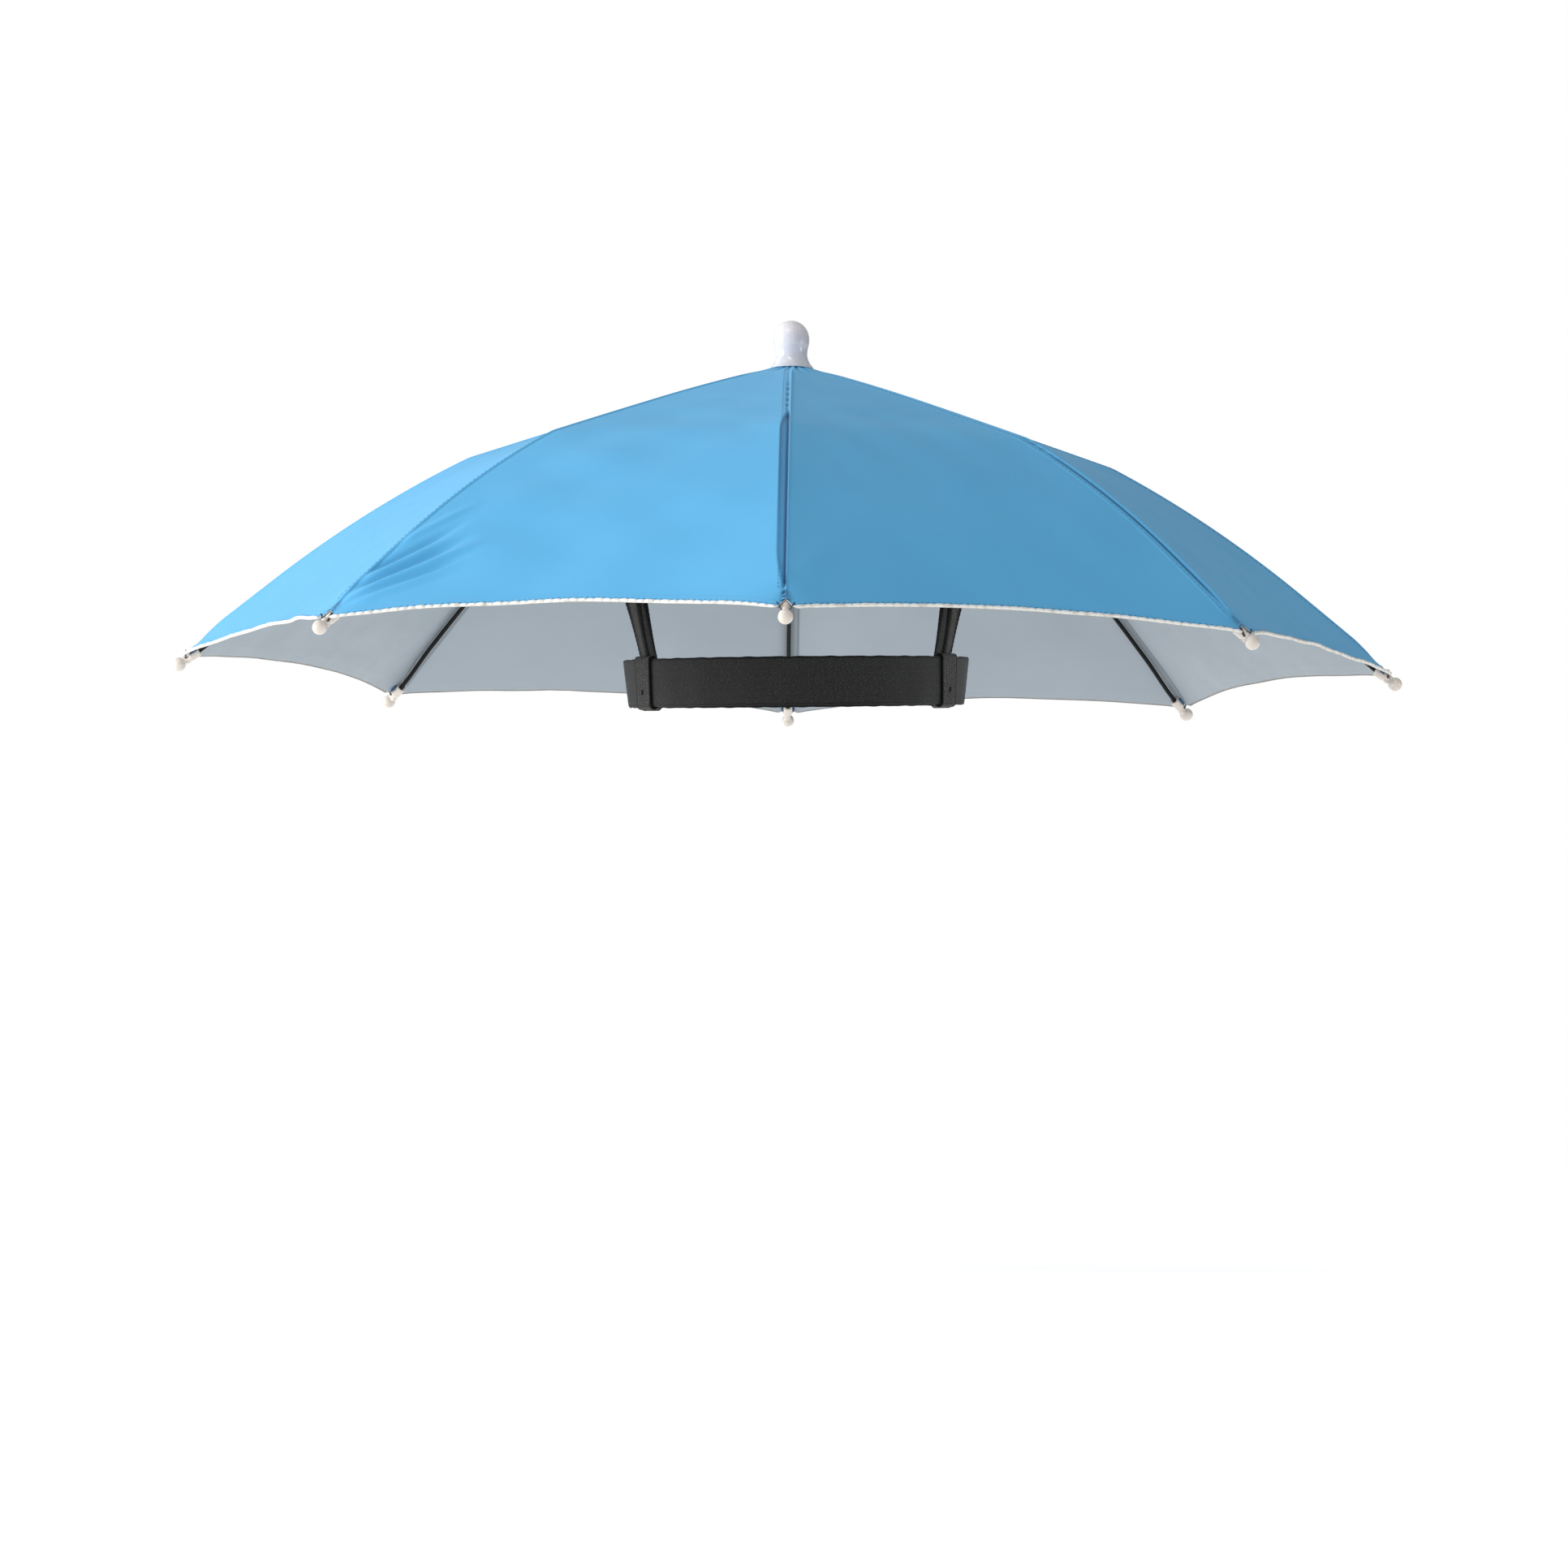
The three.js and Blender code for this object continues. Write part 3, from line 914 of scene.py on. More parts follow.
    def tip_place(self) -> Matrix:
        """Frame of the front tip: Z from the socket's mouth to the bead, X sideways, Y towards the cloth.

        Returns:
            The frame as a matrix.
        """
        _, mouth = self.socket_mouth()
        axis = (self.bead_middle() - mouth).normalized()
        side = Vector((1.0, 0.0, 0.0))
        return Matrix.Translation(mouth) @ Matrix((side, axis.cross(side), axis)).transposed().to_4x4()


class SeamKind(Enum):
    """How the cloth lies along a seam."""

    PLAIN = "plain"
    PLEATED = "pleated"
    PIPED = "piped"


@dataclass(frozen=True)
class Fold:
    """A drawn fold in one panel, raised where its height is positive.

    Its ends are a share of the radius and a share of the way across the panel.
    """

    panel: int
    start: tuple[float, float]
    end: tuple[float, float]
    width: float
    height: float


@dataclass
class Canopy:
    """The blue cloth with its silver underside: one closed, continuous sheet over the eight ribs.

    Near the rim a unit of radius is rim_run units of cloth. The stitches beside a seam run along the
    column of vertices that is stitch_column places before it.
    """

    form: CanopyForm
    cloth: Material
    lining: Material
    edge: Material
    thread: Material
    thickness: float = 0.8 * MM
    crown_hole: float = 4.4 * MM
    allowance: float = 5.0 * MM
    hem_depth: float = 4.4 * MM
    hem_stitch: float = 1.1 * MM
    notch_depth: float = 6.2 * MM
    notch_width: float = 2.7 * MM
    pocket_radius: float = 3.2 * MM
    pocket_wall: float = 0.5 * MM
    pocket_half_turn: float = 82.0
    seam_steps: tuple[float, ...] = (0.0, 0.4, 0.8, 1.2, 1.7, 2.3, 3.0, 3.7, 4.2, 4.6, 4.95, 5.3, 6.3)
    pleat_width: float = 4.6 * MM
    wave_height: float = 0.9 * MM
    rim_run: float = 1.27
    stitch_column: int = 7
    folded_panel: int = 7
    kinds: tuple[SeamKind, ...] = (SeamKind.PLEATED, SeamKind.PIPED) + (SeamKind.PLAIN,) * 6
    folds: tuple[Fold, ...] = (
        Fold(7, (0.925, 0.004), (0.826, 0.143), 2.1 * MM, 1.5 * MM),
        Fold(7, (0.962, 0.012), (0.837, 0.222), 2.2 * MM, 1.9 * MM),
        Fold(7, (0.972, 0.034), (0.882, 0.219), 2.4 * MM, 1.2 * MM),
        Fold(7, (0.850, 0.001), (0.740, 0.112), 2.2 * MM, 0.9 * MM),
        Fold(7, (0.912, 0.002), (0.791, 0.130), 2.0 * MM, -1.6 * MM),
        Fold(7, (0.945, 0.006), (0.821, 0.189), 1.9 * MM, -1.6 * MM),
        Fold(7, (0.968, 0.022), (0.852, 0.230), 2.1 * MM, -1.4 * MM),
        Fold(0, (0.935, 0.030), (0.845, 0.120), 5.0 * MM, 0.7 * MM),
    )
    hem_roll: tuple[tuple[float, float], ...] = (
        (0.35, 0.12),
        (0.85, 0.16),
        (1.3, 0.0),
        (1.5, -0.38),
        (1.32, -0.76),
        (0.8, -0.88),
        (0.3, -0.8),
    )
    # Painted shade on the inner, under side of the rolled edge, one value a ring.
    hem_shade: tuple[float, ...] = (0, 0, 0, 0.1, 0.75, 0.85, 0.4)
    seed: int = 11
    rings: dict[str, np.ndarray] = field(init=False)
    chart: list[np.ndarray] = field(init=False)
    shares: np.ndarray = field(init=False)

    def rows(self) -> np.ndarray:
        """Shares of the radius at which the outer face has a row of vertices.

        Returns:
            The shares, from the crown to the hem.
        """
        spans = ((self.crown_hole / self.form.radius, 0.12, 16), (0.12, 0.42, 28), (0.42, 0.62, 30))
        spans += ((0.62, 0.78, 24), (0.78, 0.93, 40), (0.93, 1.0, 26))
        parts = [np.linspace(low, high, count, endpoint=False) for low, high, count in spans]
        return np.concatenate([*parts, [1.0]])

    def middle_steps(self, panel: int) -> np.ndarray:
        """Shares, between a panel's two seam margins, at which it has a column of vertices.

        Args:
            panel: Index of the panel.

        Returns:
            The shares between 0 and 1.
        """
        if panel == self.folded_panel:
            return np.concatenate([np.linspace(0, 0.20, 30)[1:], np.linspace(0.20, 1, 22)[1:-1]])
        even = np.linspace(0, 1, 26)[1:-1]
        return 0.45 * even + 0.55 * (0.5 - 0.5 * np.cos(math.pi * even))

    def across(self, panel: int, shares: np.ndarray) -> np.ndarray:
        """Share of the way across for each row and column, both seams included.

        Args:
            panel: Index of the panel.
            shares: Shares of the radius.

        Returns:
            The shares, by row and column.
        """
        chord = self.form.chord(shares)
        steps = np.array(self.seam_steps) * MM
        fit = np.minimum(1.0, chord / (2.6 * steps[-1]))
        margin = steps[None, :] * fit[:, None] / chord[:, None]
        middle = margin[:, -1:] + (1 - 2 * margin[:, -1:]) * self.middle_steps(panel)[None, :]
        return np.concatenate([margin, middle, 1 - margin[:, ::-1]], axis=1)

    def notch(self, gap: np.ndarray) -> np.ndarray:
        """How far the cloth's edge stops short at a distance from a seam, where the tip stands in a notch."""
        return self.notch_depth * np.exp(-np.abs(gap / self.notch_width) ** 2.4)

    def seam_relief(
        self, kind: SeamKind, share: np.ndarray, gap: np.ndarray, under: bool
    ) -> tuple[np.ndarray, np.ndarray]:
        """Relief and painted shade on one side of a seam.

        Args:
            kind: How the cloth lies along the seam.
            share: Shares of the radius.
            gap: Distances from the seam.
            under: Whether this is the side under which the seam's allowance lies.

        Returns:
            How far the cloth stands out, and how dark its colour is painted as shade in the seam's grooves
            and pleat, from 0 to 1.
        """
        along = share * self.form.radius
        fade = smooth(0.05, 0.12, share) * (1 - smooth(0.965, 0.99, share))
        lift = 0.35 * MM * bell(gap, 0.0, 0.6 * MM) * fade
        shade = np.zeros_like(gap)
        if kind is SeamKind.PIPED:
            run = smooth(0.52, 0.60, share) * (1 - smooth(0.88, 0.97, share))
            lift += 0.35 * MM * bell(gap, 0.0, 0.7 * MM) * run
        if not under:
            lift -= 0.12 * MM * bell(gap, 1.5 * MM, 0.7 * MM) * fade
            return lift, shade
        if kind is SeamKind.PLEATED:
            run = smooth(0.425, 0.47, share) * (1 - smooth(0.955, 0.975, share))
            width = self.pleat_width * smooth(0.38, 0.56, share) * (1 - 0.6 * smooth(0.88, 0.972, share))
            strip = run * (1 - smooth(width - 0.5 * MM, width + 0.3 * MM, gap)) * smooth(0.0, 0.5 * MM, gap)
            lift -= strip * 1.6 * MM * np.clip(1.08 - gap / self.pleat_width, 0.0, 1.0)
            brim = bell(gap, width - 0.3 * MM, 0.45 * MM) * (1 - smooth(0.72, 0.9, share))
            # Painted shade over the sunken pleat, darkest near the seam and along its far edge.
            shade += strip * (0.36 + 0.64 * bell(gap, 1.15 * MM, 0.7 * MM) + 0.36 * brim)
            puckers = (1 - run) * smooth(0.14, 0.26, share) * (0.5 + 0.5 * np.sin(along / (0.62 * MM)))
            groove = bell(gap, 1.3 * MM, 0.8 * MM) * (0.35 * fade + puckers) * (1 - run)
            lift -= 0.5 * MM * groove
            # Painted shade in the groove beside the seam, above and below the pleat.
            shade += 0.7 * groove
            return lift, shade
        lift += 0.18 * MM * (1 - smooth(self.allowance - 0.3 * MM, self.allowance + 0.2 * MM, gap)) * fade
        if kind is SeamKind.PIPED:
            run = smooth(0.575, 0.61, share) * (1 - smooth(0.90, 0.97, share))
            early = smooth(0.50, 0.54, share) * (1 - smooth(0.58, 0.60, share))
            dashes = early * (0.5 + 0.5 * np.sin(along / (0.85 * MM)))
            groove = bell(gap, 1.3 * MM, 0.55 * MM) * np.maximum(run, dashes)
            lift -= 0.75 * MM * groove
            # Painted shade in the piped seam's groove.
            shade += 0.95 * groove
            return lift, shade
        groove = bell(gap, 1.1 * MM, 0.4 * MM) * fade
        lift -= 0.22 * MM * groove
        # Painted shade in the plain seam's groove.
        shade += 0.32 * groove
        return lift, shade

    def undulation(self, plan: np.ndarray) -> np.ndarray:
        """Slow waves in the cloth, from a fixed seed.

        Args:
            plan: Places seen from above.

        Returns:
            Heights from -1 to 1.
        """
        chance = np.random.RandomState(self.seed)
        waves = np.zeros(plan.shape[:-1])
        for _ in range(9):
            heading = chance.uniform(0, 2 * math.pi)
            length = chance.uniform(30, 75) * MM
            phase = chance.uniform(0, 2 * math.pi)
            step = plan[..., 0] * math.cos(heading) + plan[..., 1] * math.sin(heading)
            waves += np.sin(2 * math.pi * step / length + phase)
        return waves / 9

    def fold_relief(self, panel: int, plan: np.ndarray) -> np.ndarray:
        """Height of the drawn folds of one panel.

        Args:
            panel: Index of the panel.
            plan: Places seen from above.

        Returns:
            Heights in metres.
        """
        lift = np.zeros(plan.shape[:-1])
        for fold in self.folds:
            if fold.panel != panel:
                continue
            ends = []
            for share, across in (fold.start, fold.end):
                ends.append(self.form.cloth(panel, np.array([share]), np.array([across]))[0, :2])
            line = ends[1] - ends[0]
            length = float(np.hypot(*line))
            unit = line / length
            run = ((plan - ends[0]) @ unit) / length
            square = np.array([-unit[1], unit[0]])
            side = plan @ square - ends[0] @ square
            taper = smooth(-0.05, 0.22, run) * (1 - smooth(0.55, 1.05, run))
            lift += fold.height * taper * np.exp(-((side / fold.width) ** 2))
        return lift

    def relief(
        self, panel: int, share: np.ndarray, across: np.ndarray, points: np.ndarray
    ) -> tuple[np.ndarray, np.ndarray]:
        """How far a panel's outer face stands out from the plain form, and its painted shade.

        Args:
            panel: Index of the panel.
            share: Shares of the radius before the hem's scallop, by row and column.
            across: Shares of the way across.
            points: Points of the plain form.

        Returns:
            The relief in metres and the painted shade from 0 to 1.
        """
        chord = self.form.chord(share)
        left = across * chord
        right = (1 - across) * chord
        plan = points[..., :2]
        lift, shade = self.seam_relief(self.kinds[panel], share, left, under=False)
        more, darker = self.seam_relief(self.kinds[(panel + 1) % PANEL_COUNT], share, right, under=True)
        seam_lift = np.where(left < right, lift, more)
        shade = np.where(left < right, shade, darker)
        nearest = np.minimum(left, right)
        lift = seam_lift + self.undulation(plan) * self.wave_height * smooth(0.0, 30 * MM, nearest)
        folds = self.fold_relief(panel, plan) * smooth(0.0, 1.5 * MM, nearest)
        lift += folds
        to_edge = (1 - share) * self.form.radius * self.rim_run
        turned_up = 1 - smooth(self.hem_depth - 0.3 * MM, self.hem_depth + 0.3 * MM, to_edge)
        lift += 0.2 * MM * turned_up * smooth(2 * MM, 6 * MM, nearest)
        corner = smooth(0.93, 1.0, share) * np.exp(-((nearest / (6 * MM)) ** 2))
        lift -= 1.3 * MM * corner
        # Painted shade in the folds' valleys and in the cloth's corners beside the tips.
        shade = shade + 0.16 * smooth(0.3 * MM, 1.4 * MM, -folds)
        shade = shade + 0.55 * smooth(0.972, 0.985, share) * np.exp(-((nearest / (3.0 * MM)) ** 2))
        round_axis = np.arctan2(plan[..., 0], -plan[..., 1])
        crown = bell(share * self.form.radius, 12 * MM, 8 * MM)
        lift += 0.35 * MM * crown * np.sin(round_axis * 19 + 1.3 * np.sin(round_axis * 3))
        return lift, np.clip(shade, 0, 1)

    def lay_out(self) -> None:
        """Compute the outer face, its normals and its shade, ring by ring."""
        shares = self.rows()
        points, shade, chart = [], [], []
        for panel in range(PANEL_COUNT):
            across = self.across(panel, shares)
            share = np.repeat(shares[:, None], across.shape[1], axis=1)
            chord = self.form.chord(share)
            local = self.form.hemmed(share, across)
            gap = np.minimum(across, 1 - across) * chord
            local = local - self.notch(gap) / self.rim_run / self.form.radius * smooth(0.90, 1.0, share)
            base = self.form.cloth(panel, local, across)
            lift, dark = self.relief(panel, share, across, base)
            points.append((base, lift))
            shade.append(dark)
            chart.append(np.stack([(across - 0.5) * chord, local * self.form.radius * 1.1], axis=-1))
        self.join(shares, points, shade, chart)

    def join(
        self,
        shares: np.ndarray,
        points: list[tuple[np.ndarray, np.ndarray]],
        shade: list[np.ndarray],
        chart: list[np.ndarray],
    ) -> None:
        """Join the panels' columns into closed rings and raise them by their relief.

        Args:
            shares: Shares of the radius.
            points: Each panel's plain points and their relief.
            shade: Each panel's shade.
            chart: Each panel's place on the cloth.
        """
        bases = np.concatenate([base[:, :-1] for base, _ in points], axis=1)
        lifts = np.concatenate([lift[:, :-1] for _, lift in points], axis=1)
        shades = np.concatenate([dark[:, :-1] for dark in shade], axis=1)
        start = 0
        for panel, (_, lift) in enumerate(points):
            ahead = (start + lift.shape[1] - 1) % lifts.shape[1]
            lifts[:, ahead] = (lifts[:, ahead] + lift[:, -1]) / 2
            shades[:, ahead] = (shades[:, ahead] + shade[panel][:, -1]) / 2
            start += lift.shape[1] - 1
        normals = self.normals(bases)
        raised = bases + normals * lifts[..., None]
        self.rings = {"outer": raised, "normal": self.normals(raised)}
        self.rings.update(base_normal=normals, shade=shades)
        self.chart = chart
        self.shares = shares

    @staticmethod
    def normals(points: np.ndarray) -> np.ndarray:
        """Outward normals of closed rings of points.

        Args:
            points: The rings, from the crown down.

        Returns:
            The unit normals.
        """
        down = np.gradient(points, axis=0)
        round_axis = np.roll(points, -1, axis=1) - np.roll(points, 1, axis=1)
        normal = np.cross(down, round_axis)
        return normal / np.linalg.norm(normal, axis=-1, keepdims=True)

    def hem_rings(self) -> np.ndarray:
        """Rings of the rolled edge, from the outer face round to the inner one.

        Returns:
            The points, by ring and column.
        """
        outer = self.rings["outer"]
        normal = self.rings["base_normal"][-4]
        down = outer[-1] - outer[-3]
        down = down / np.linalg.norm(down, axis=-1, keepdims=True)
        gaps = self.gaps()
        size = (0.25 + 0.75 * smooth(2.5 * MM, 7 * MM, gaps))[:, None]
        rings = [outer[-1] + (down * out + normal * high) * size * MM for out, high in self.hem_roll]
        return np.stack(rings)

    def gaps(self) -> np.ndarray:
        """Distance of each column from its nearest seam, along the hem.

        Returns:
            The distances in metres.
        """
        chord = self.form.chord(1.0)
        parts = []
        for panel in range(PANEL_COUNT):
            across = self.across(panel, np.array([1.0]))[0]
            parts.append((np.minimum(across, 1 - across) * chord)[:-1])
        return np.concatenate(parts)

    def inner_rings(self) -> tuple[np.ndarray, np.ndarray, np.ndarray]:
        """Rings of the inner face from the hem to the crown, their shade and their row numbers.

        Returns:
            The three arrays.
        """
        count = len(self.shares)
        spaced, near_hem = np.linspace(0, count - 1, 44).astype(int), np.arange(count - 9, count, 2)
        picked = np.unique(np.concatenate([spaced, near_hem]))[::-1]
        shares = self.shares[picked]
        outer = self.rings["outer"][picked]
        normal = self.rings["base_normal"][picked]
        body = ((shares > 0.06) & (shares < 0.985))[:, None]
        lift = np.zeros(outer.shape[:2])
        shade = np.zeros(outer.shape[:2])
        start = 0
        for panel in range(PANEL_COUNT):
            across = self.across(panel, shares)
            chord = self.form.chord(shares)
            right = (1 - across) * chord[:, None]
            left = across * chord[:, None]
            strip = (1 - smooth(self.allowance - 0.2 * MM, self.allowance + 0.2 * MM, right)) * body
            line = bell(right, self.allowance + 0.15 * MM, 0.38 * MM) * body
            crease = bell(np.minimum(left, right), 0.0, 0.5 * MM) * body
            width = across.shape[1] - 1
            lift[:, start : start + width] = (0.25 * MM * strip)[:, :-1]
            # The allowance strip's own darker tone, with painted shade in the thin line at its edge and in
            # the crease along the seam.
            dark = np.clip(0.2 * strip + 0.6 * line + 0.12 * crease, 0, 1)
            shade[:, start : start + width] = dark[:, :-1]
            start += width
        to_edge = (1 - shares) * self.form.radius * self.rim_run
        hem = 1 - smooth(7.2 * MM, 8.0 * MM, to_edge)
        lift += (0.12 * MM * hem)[:, None]
        return outer - normal * (self.thickness + lift)[..., None], shade, picked

    def build_cloth(self) -> Object:
        """Make the closed sheet: outer face, rolled hem and inner face.

        Returns:
            The piece.
        """
        self.lay_out()
        outer = self.rings["outer"]
        hem = self.hem_rings()
        inner, inner_shade, picked = self.inner_rings()
        rings = np.concatenate([outer, hem, inner])
        hem_shade = np.repeat(np.array(self.hem_shade)[:, None], hem.shape[1], axis=1)
        shade = np.concatenate([self.rings["shade"], hem_shade, inner_shade])
        count, columns = rings.shape[:2]
        faces, charts, slots = [], [], []
        rows_before_hem = len(outer) - 1
        rows_with_hem = len(outer) + len(hem)
        start = 0
        for panel in range(PANEL_COUNT):
            chart = self.chart[panel]
            last = np.repeat(chart[-1:], len(hem), axis=0)
            chart = np.concatenate([chart, last, chart[picked]])
            width = chart.shape[1] - 1
            for column in range(width):
                here, beside = start + column, (start + column + 1) % columns
                for ring in range(count):
                    after = (ring + 1) % count
                    first, second = ring * columns, after * columns
                    faces.append((first + here, second + here, second + beside, first + beside))
                    charts.extend((chart[ring, column], chart[after, column]))
                    charts.extend((chart[after, column + 1], chart[ring, column + 1]))
                    slots.append(0 if ring < rows_before_hem else 2 if ring < rows_with_hem - 1 else 1)
            start += width
        mesh = mesh_of("canopy_cloth", rings.reshape(-1, 3), faces)
        mesh.polygons.foreach_set("material_index", slots)
        layer = mesh.uv_layers.new(name="cloth")
        layer.data.foreach_set("uv", np.array(charts, dtype=np.float32).ravel())
        shade_mesh(mesh, shade.astype(np.float32).ravel())
        piece = piece_of("canopy_cloth", mesh, self.cloth, self.lining, self.edge)
        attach(piece, ROOT)
        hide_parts(*(f"canopy_panel_{index + 1}" for index in range(PANEL_COUNT)))
        return piece

    def hem_paths(self, clear: float) -> Mesh:
        """Path along the rolled edge of each panel, clear of the notches at its corners."""
        ring = self.hem_rings()[1] - self.rings["base_normal"][-4] * 0.1 * MM
        return lines_of("hem_path", [ring[run] for run in self.runs(self.gaps() > clear)])

    def stitch_paths(self) -> Mesh:
        """Paths of the stitches: beside each seam and above each hem.

        Returns:
            The mesh of lines.
        """
        raised = self.rings["outer"] + self.rings["normal"] * 0.03 * MM
        low = int(np.searchsorted(self.shares, 0.06))
        high = int(np.searchsorted(self.shares, 0.965))
        lines, start = [], 0
        for chart in self.chart:
            start += chart.shape[1] - 1
            lines.append(raised[low:high, (start - self.stitch_column) % raised.shape[1]])
        above_hem = 1 - self.hem_stitch / self.rim_run / self.form.radius
        row = raised[int(np.searchsorted(self.shares, above_hem))]
        lines += [row[run] for run in self.runs(self.gaps() > 6 * MM)]
        return lines_of("stitch_path", lines)

    @staticmethod
    def runs(keep: np.ndarray) -> list[np.ndarray]:
        """Unbroken runs of columns that are kept, the one over the end of the ring included.

        Args:
            keep: Whether each column is kept.

        Returns:
            Each run's column numbers.
        """
        count = len(keep)
        first = int(np.argmin(keep))
        order = [(first + step) % count for step in range(count)]
        runs, run = [], []
        for column in order:
            if keep[column]:
                run.append(column)
            elif run:
                runs.append(np.array(run))
                run = []
        if run:
            runs.append(np.array(run))
        return runs

    def build_hem(self) -> Object:
        """Gather the hem's edge into a row of small puffs, one to a stitch.

        Returns:
            The piece.
        """
        recipe = Recipe("hem_gathers")
        pitch = recipe.size("Stitch pitch", 3.8 * MM)
        shape = recipe.bead(
            recipe.size("Gather length", 4.6 * MM),
            recipe.size("Gather width", 1.6 * MM),
            recipe.size("Gather height", 1.6 * MM),
        )
        low, high, seed = recipe.size("Smallest", 0.8), recipe.size("Largest", 1.12), recipe.size("Seed", 4)
        recipe.finish(recipe.along_the_path(recipe.drawn(), shape, pitch, low, high, seed), self.edge)
        piece = recipe.bake("canopy_hem_edge", self.hem_paths(6 * MM), self.edge)
        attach(piece, ROOT)
        return piece

    def build_stitches(self) -> Object:
        """Sew the seams and hems with a row of stitches.

        Returns:
            The piece.
        """
        recipe = Recipe("sewn_stitches")
        pitch = recipe.size("Stitch pitch", 2.6 * MM)
        shape = recipe.bead(
            recipe.size("Stitch length", 1.9 * MM),
            recipe.size("Thread width", 0.32 * MM),
            recipe.size("Thread height", 0.26 * MM),
            6,
            4,
        )
        low, high, seed = recipe.size("Smallest", 0.9), recipe.size("Largest", 1.05), recipe.size("Seed", 9)
        recipe.finish(recipe.along_the_path(recipe.drawn(), shape, pitch, low, high, seed), self.thread)
        piece = recipe.bake("canopy_stitches", self.stitch_paths(), self.thread)
        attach(piece, ROOT)
        return piece

    def pocket(self) -> Mesh:
        """The corner of cloth that wraps the front tip's socket, open below.

        Returns:
            The closed mesh.
        """
        points, shades = [], []
        columns, rows = 21, 13
        half_turn = math.radians(self.pocket_half_turn)
        for wall, side in ((0.0, 1), (self.pocket_wall, -1)):
            for row in range(rows):
                share = row / (rows - 1)
                for column in range(columns)[::side]:
                    turn = half_turn * (2 * column / (columns - 1) - 1)
                    edge = abs(turn) / half_turn
                    radius = self.pocket_radius - wall + 0.16 * MM * math.sin(turn * 4 + share * 3) * edge
                    along = (0.4 + (1.5 + 2.6 * edge * edge) * share) * MM
                    points.append((radius * math.sin(turn), radius * math.cos(turn), along))
                    # Painted shade: a little over the whole pocket, deepest at its edges and ends where it
                    # meets the cloth.
                    shades.append(0.25 + 0.7 * smooth(0.72, 0.95, np.float64(max(edge, abs(2 * share - 1)))))
        outer, faces = rows * columns, []
        for row in range(rows - 1):
            for column in range(columns - 1):
                first = row * columns + column
                corners = (first, first + 1, first + columns + 1, first + columns)
                faces.append(corners)
                faces.append(tuple(outer + index for index in corners))
        rim = list(range(columns)) + [row * columns + columns - 1 for row in range(1, rows)]
        rim += [(rows - 1) * columns + column for column in range(columns - 2, -1, -1)]
        rim += [row * columns for row in range(rows - 2, 0, -1)]
        for here, ahead in zip(rim, rim[1:] + rim[:1]):
            across = [outer + (one // columns + 1) * columns - 1 - one % columns for one in (here, ahead)]
            faces.append((ahead, here, across[0], across[1]))
        mesh = mesh_of("corner_pocket", points, faces)
        layer = mesh.uv_layers.new(name="cloth")
        for loop in mesh.loops:
            place = mesh.vertices[loop.vertex_index].co
            layer.data[loop.index].uv = (math.atan2(place.x, place.y) * self.pocket_radius, place.z)
        shade_mesh(mesh, shades)
        outward_normals(mesh)
        return mesh

    def build_pockets(self) -> Object:
        """Wrap the cloth's corners over the tips' sockets.

        Returns:
            The piece.
        """
        recipe = Recipe("pockets_round_the_hem")
        count = recipe.size("Pocket count", PANEL_COUNT)
        recipe.finish(recipe.round_the_axis(recipe.drawn(), count), self.cloth)
        drawn = self.pocket()
        drawn.transform(self.form.tip_place())
        piece = recipe.bake("canopy_corner_pockets", drawn, self.cloth)
        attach(piece, ROOT)
        return piece

    def build(self) -> list[Object]:
        """Returns:
            The four pieces.
        """
        cloth = self.build_cloth()
        sewn = [self.build_hem(), self.build_stitches(), self.build_pockets()]
        return [cloth, *sewn]


@dataclass
class RibSet:
    """The eight black wires under the seams."""

    form: CanopyForm
    wire: Material
    diameter: float = 2 * MM
    seat: float = 7 * MM
    grip: float = 5.5 * MM
    rise: float = 1.0 * MM
    bend_gap: float = 0.006

    def path(self) -> Mesh:
        """Path of the front rib, from its seat in the hub to its end in the tip.

        Returns:
            The mesh of one line.
        """
        share, mouth = self.form.socket_mouth()
        start = self.seat / self.form.radius
        inner = np.linspace(start, self.form.bend - self.bend_gap, 14)
        outer = np.linspace(self.form.bend + self.bend_gap, share, 24)
        points = []
        for one in (*inner, *outer):
            rise = self.rise * smooth(0.54, 0.66, one) * (1 - smooth(0.90, 0.965, one))
            points.append(self.form.under_seam(0, one, self.form.rib_drop - float(rise)))
        points.append(mouth + (self.form.bead_middle() - mouth).normalized() * self.grip)
        return lines_of("rib_path", [points])

    def build(self) -> Object:
        """Make the wires.

        Returns:
            The piece.
        """
        recipe = Recipe("ribs_round_the_hub")
        swept = recipe.tube(recipe.size("Wire radius", self.diameter / 2), 14)
        count = recipe.size("Rib count", PANEL_COUNT)
        recipe.finish(recipe.round_the_axis(swept, count), self.wire)
        piece = recipe.bake("rib_wires", self.path(), self.wire)
        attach(piece, ROOT)
        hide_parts(*(f"rib_{index + 1}" for index in range(PANEL_COUNT)))
        return piece


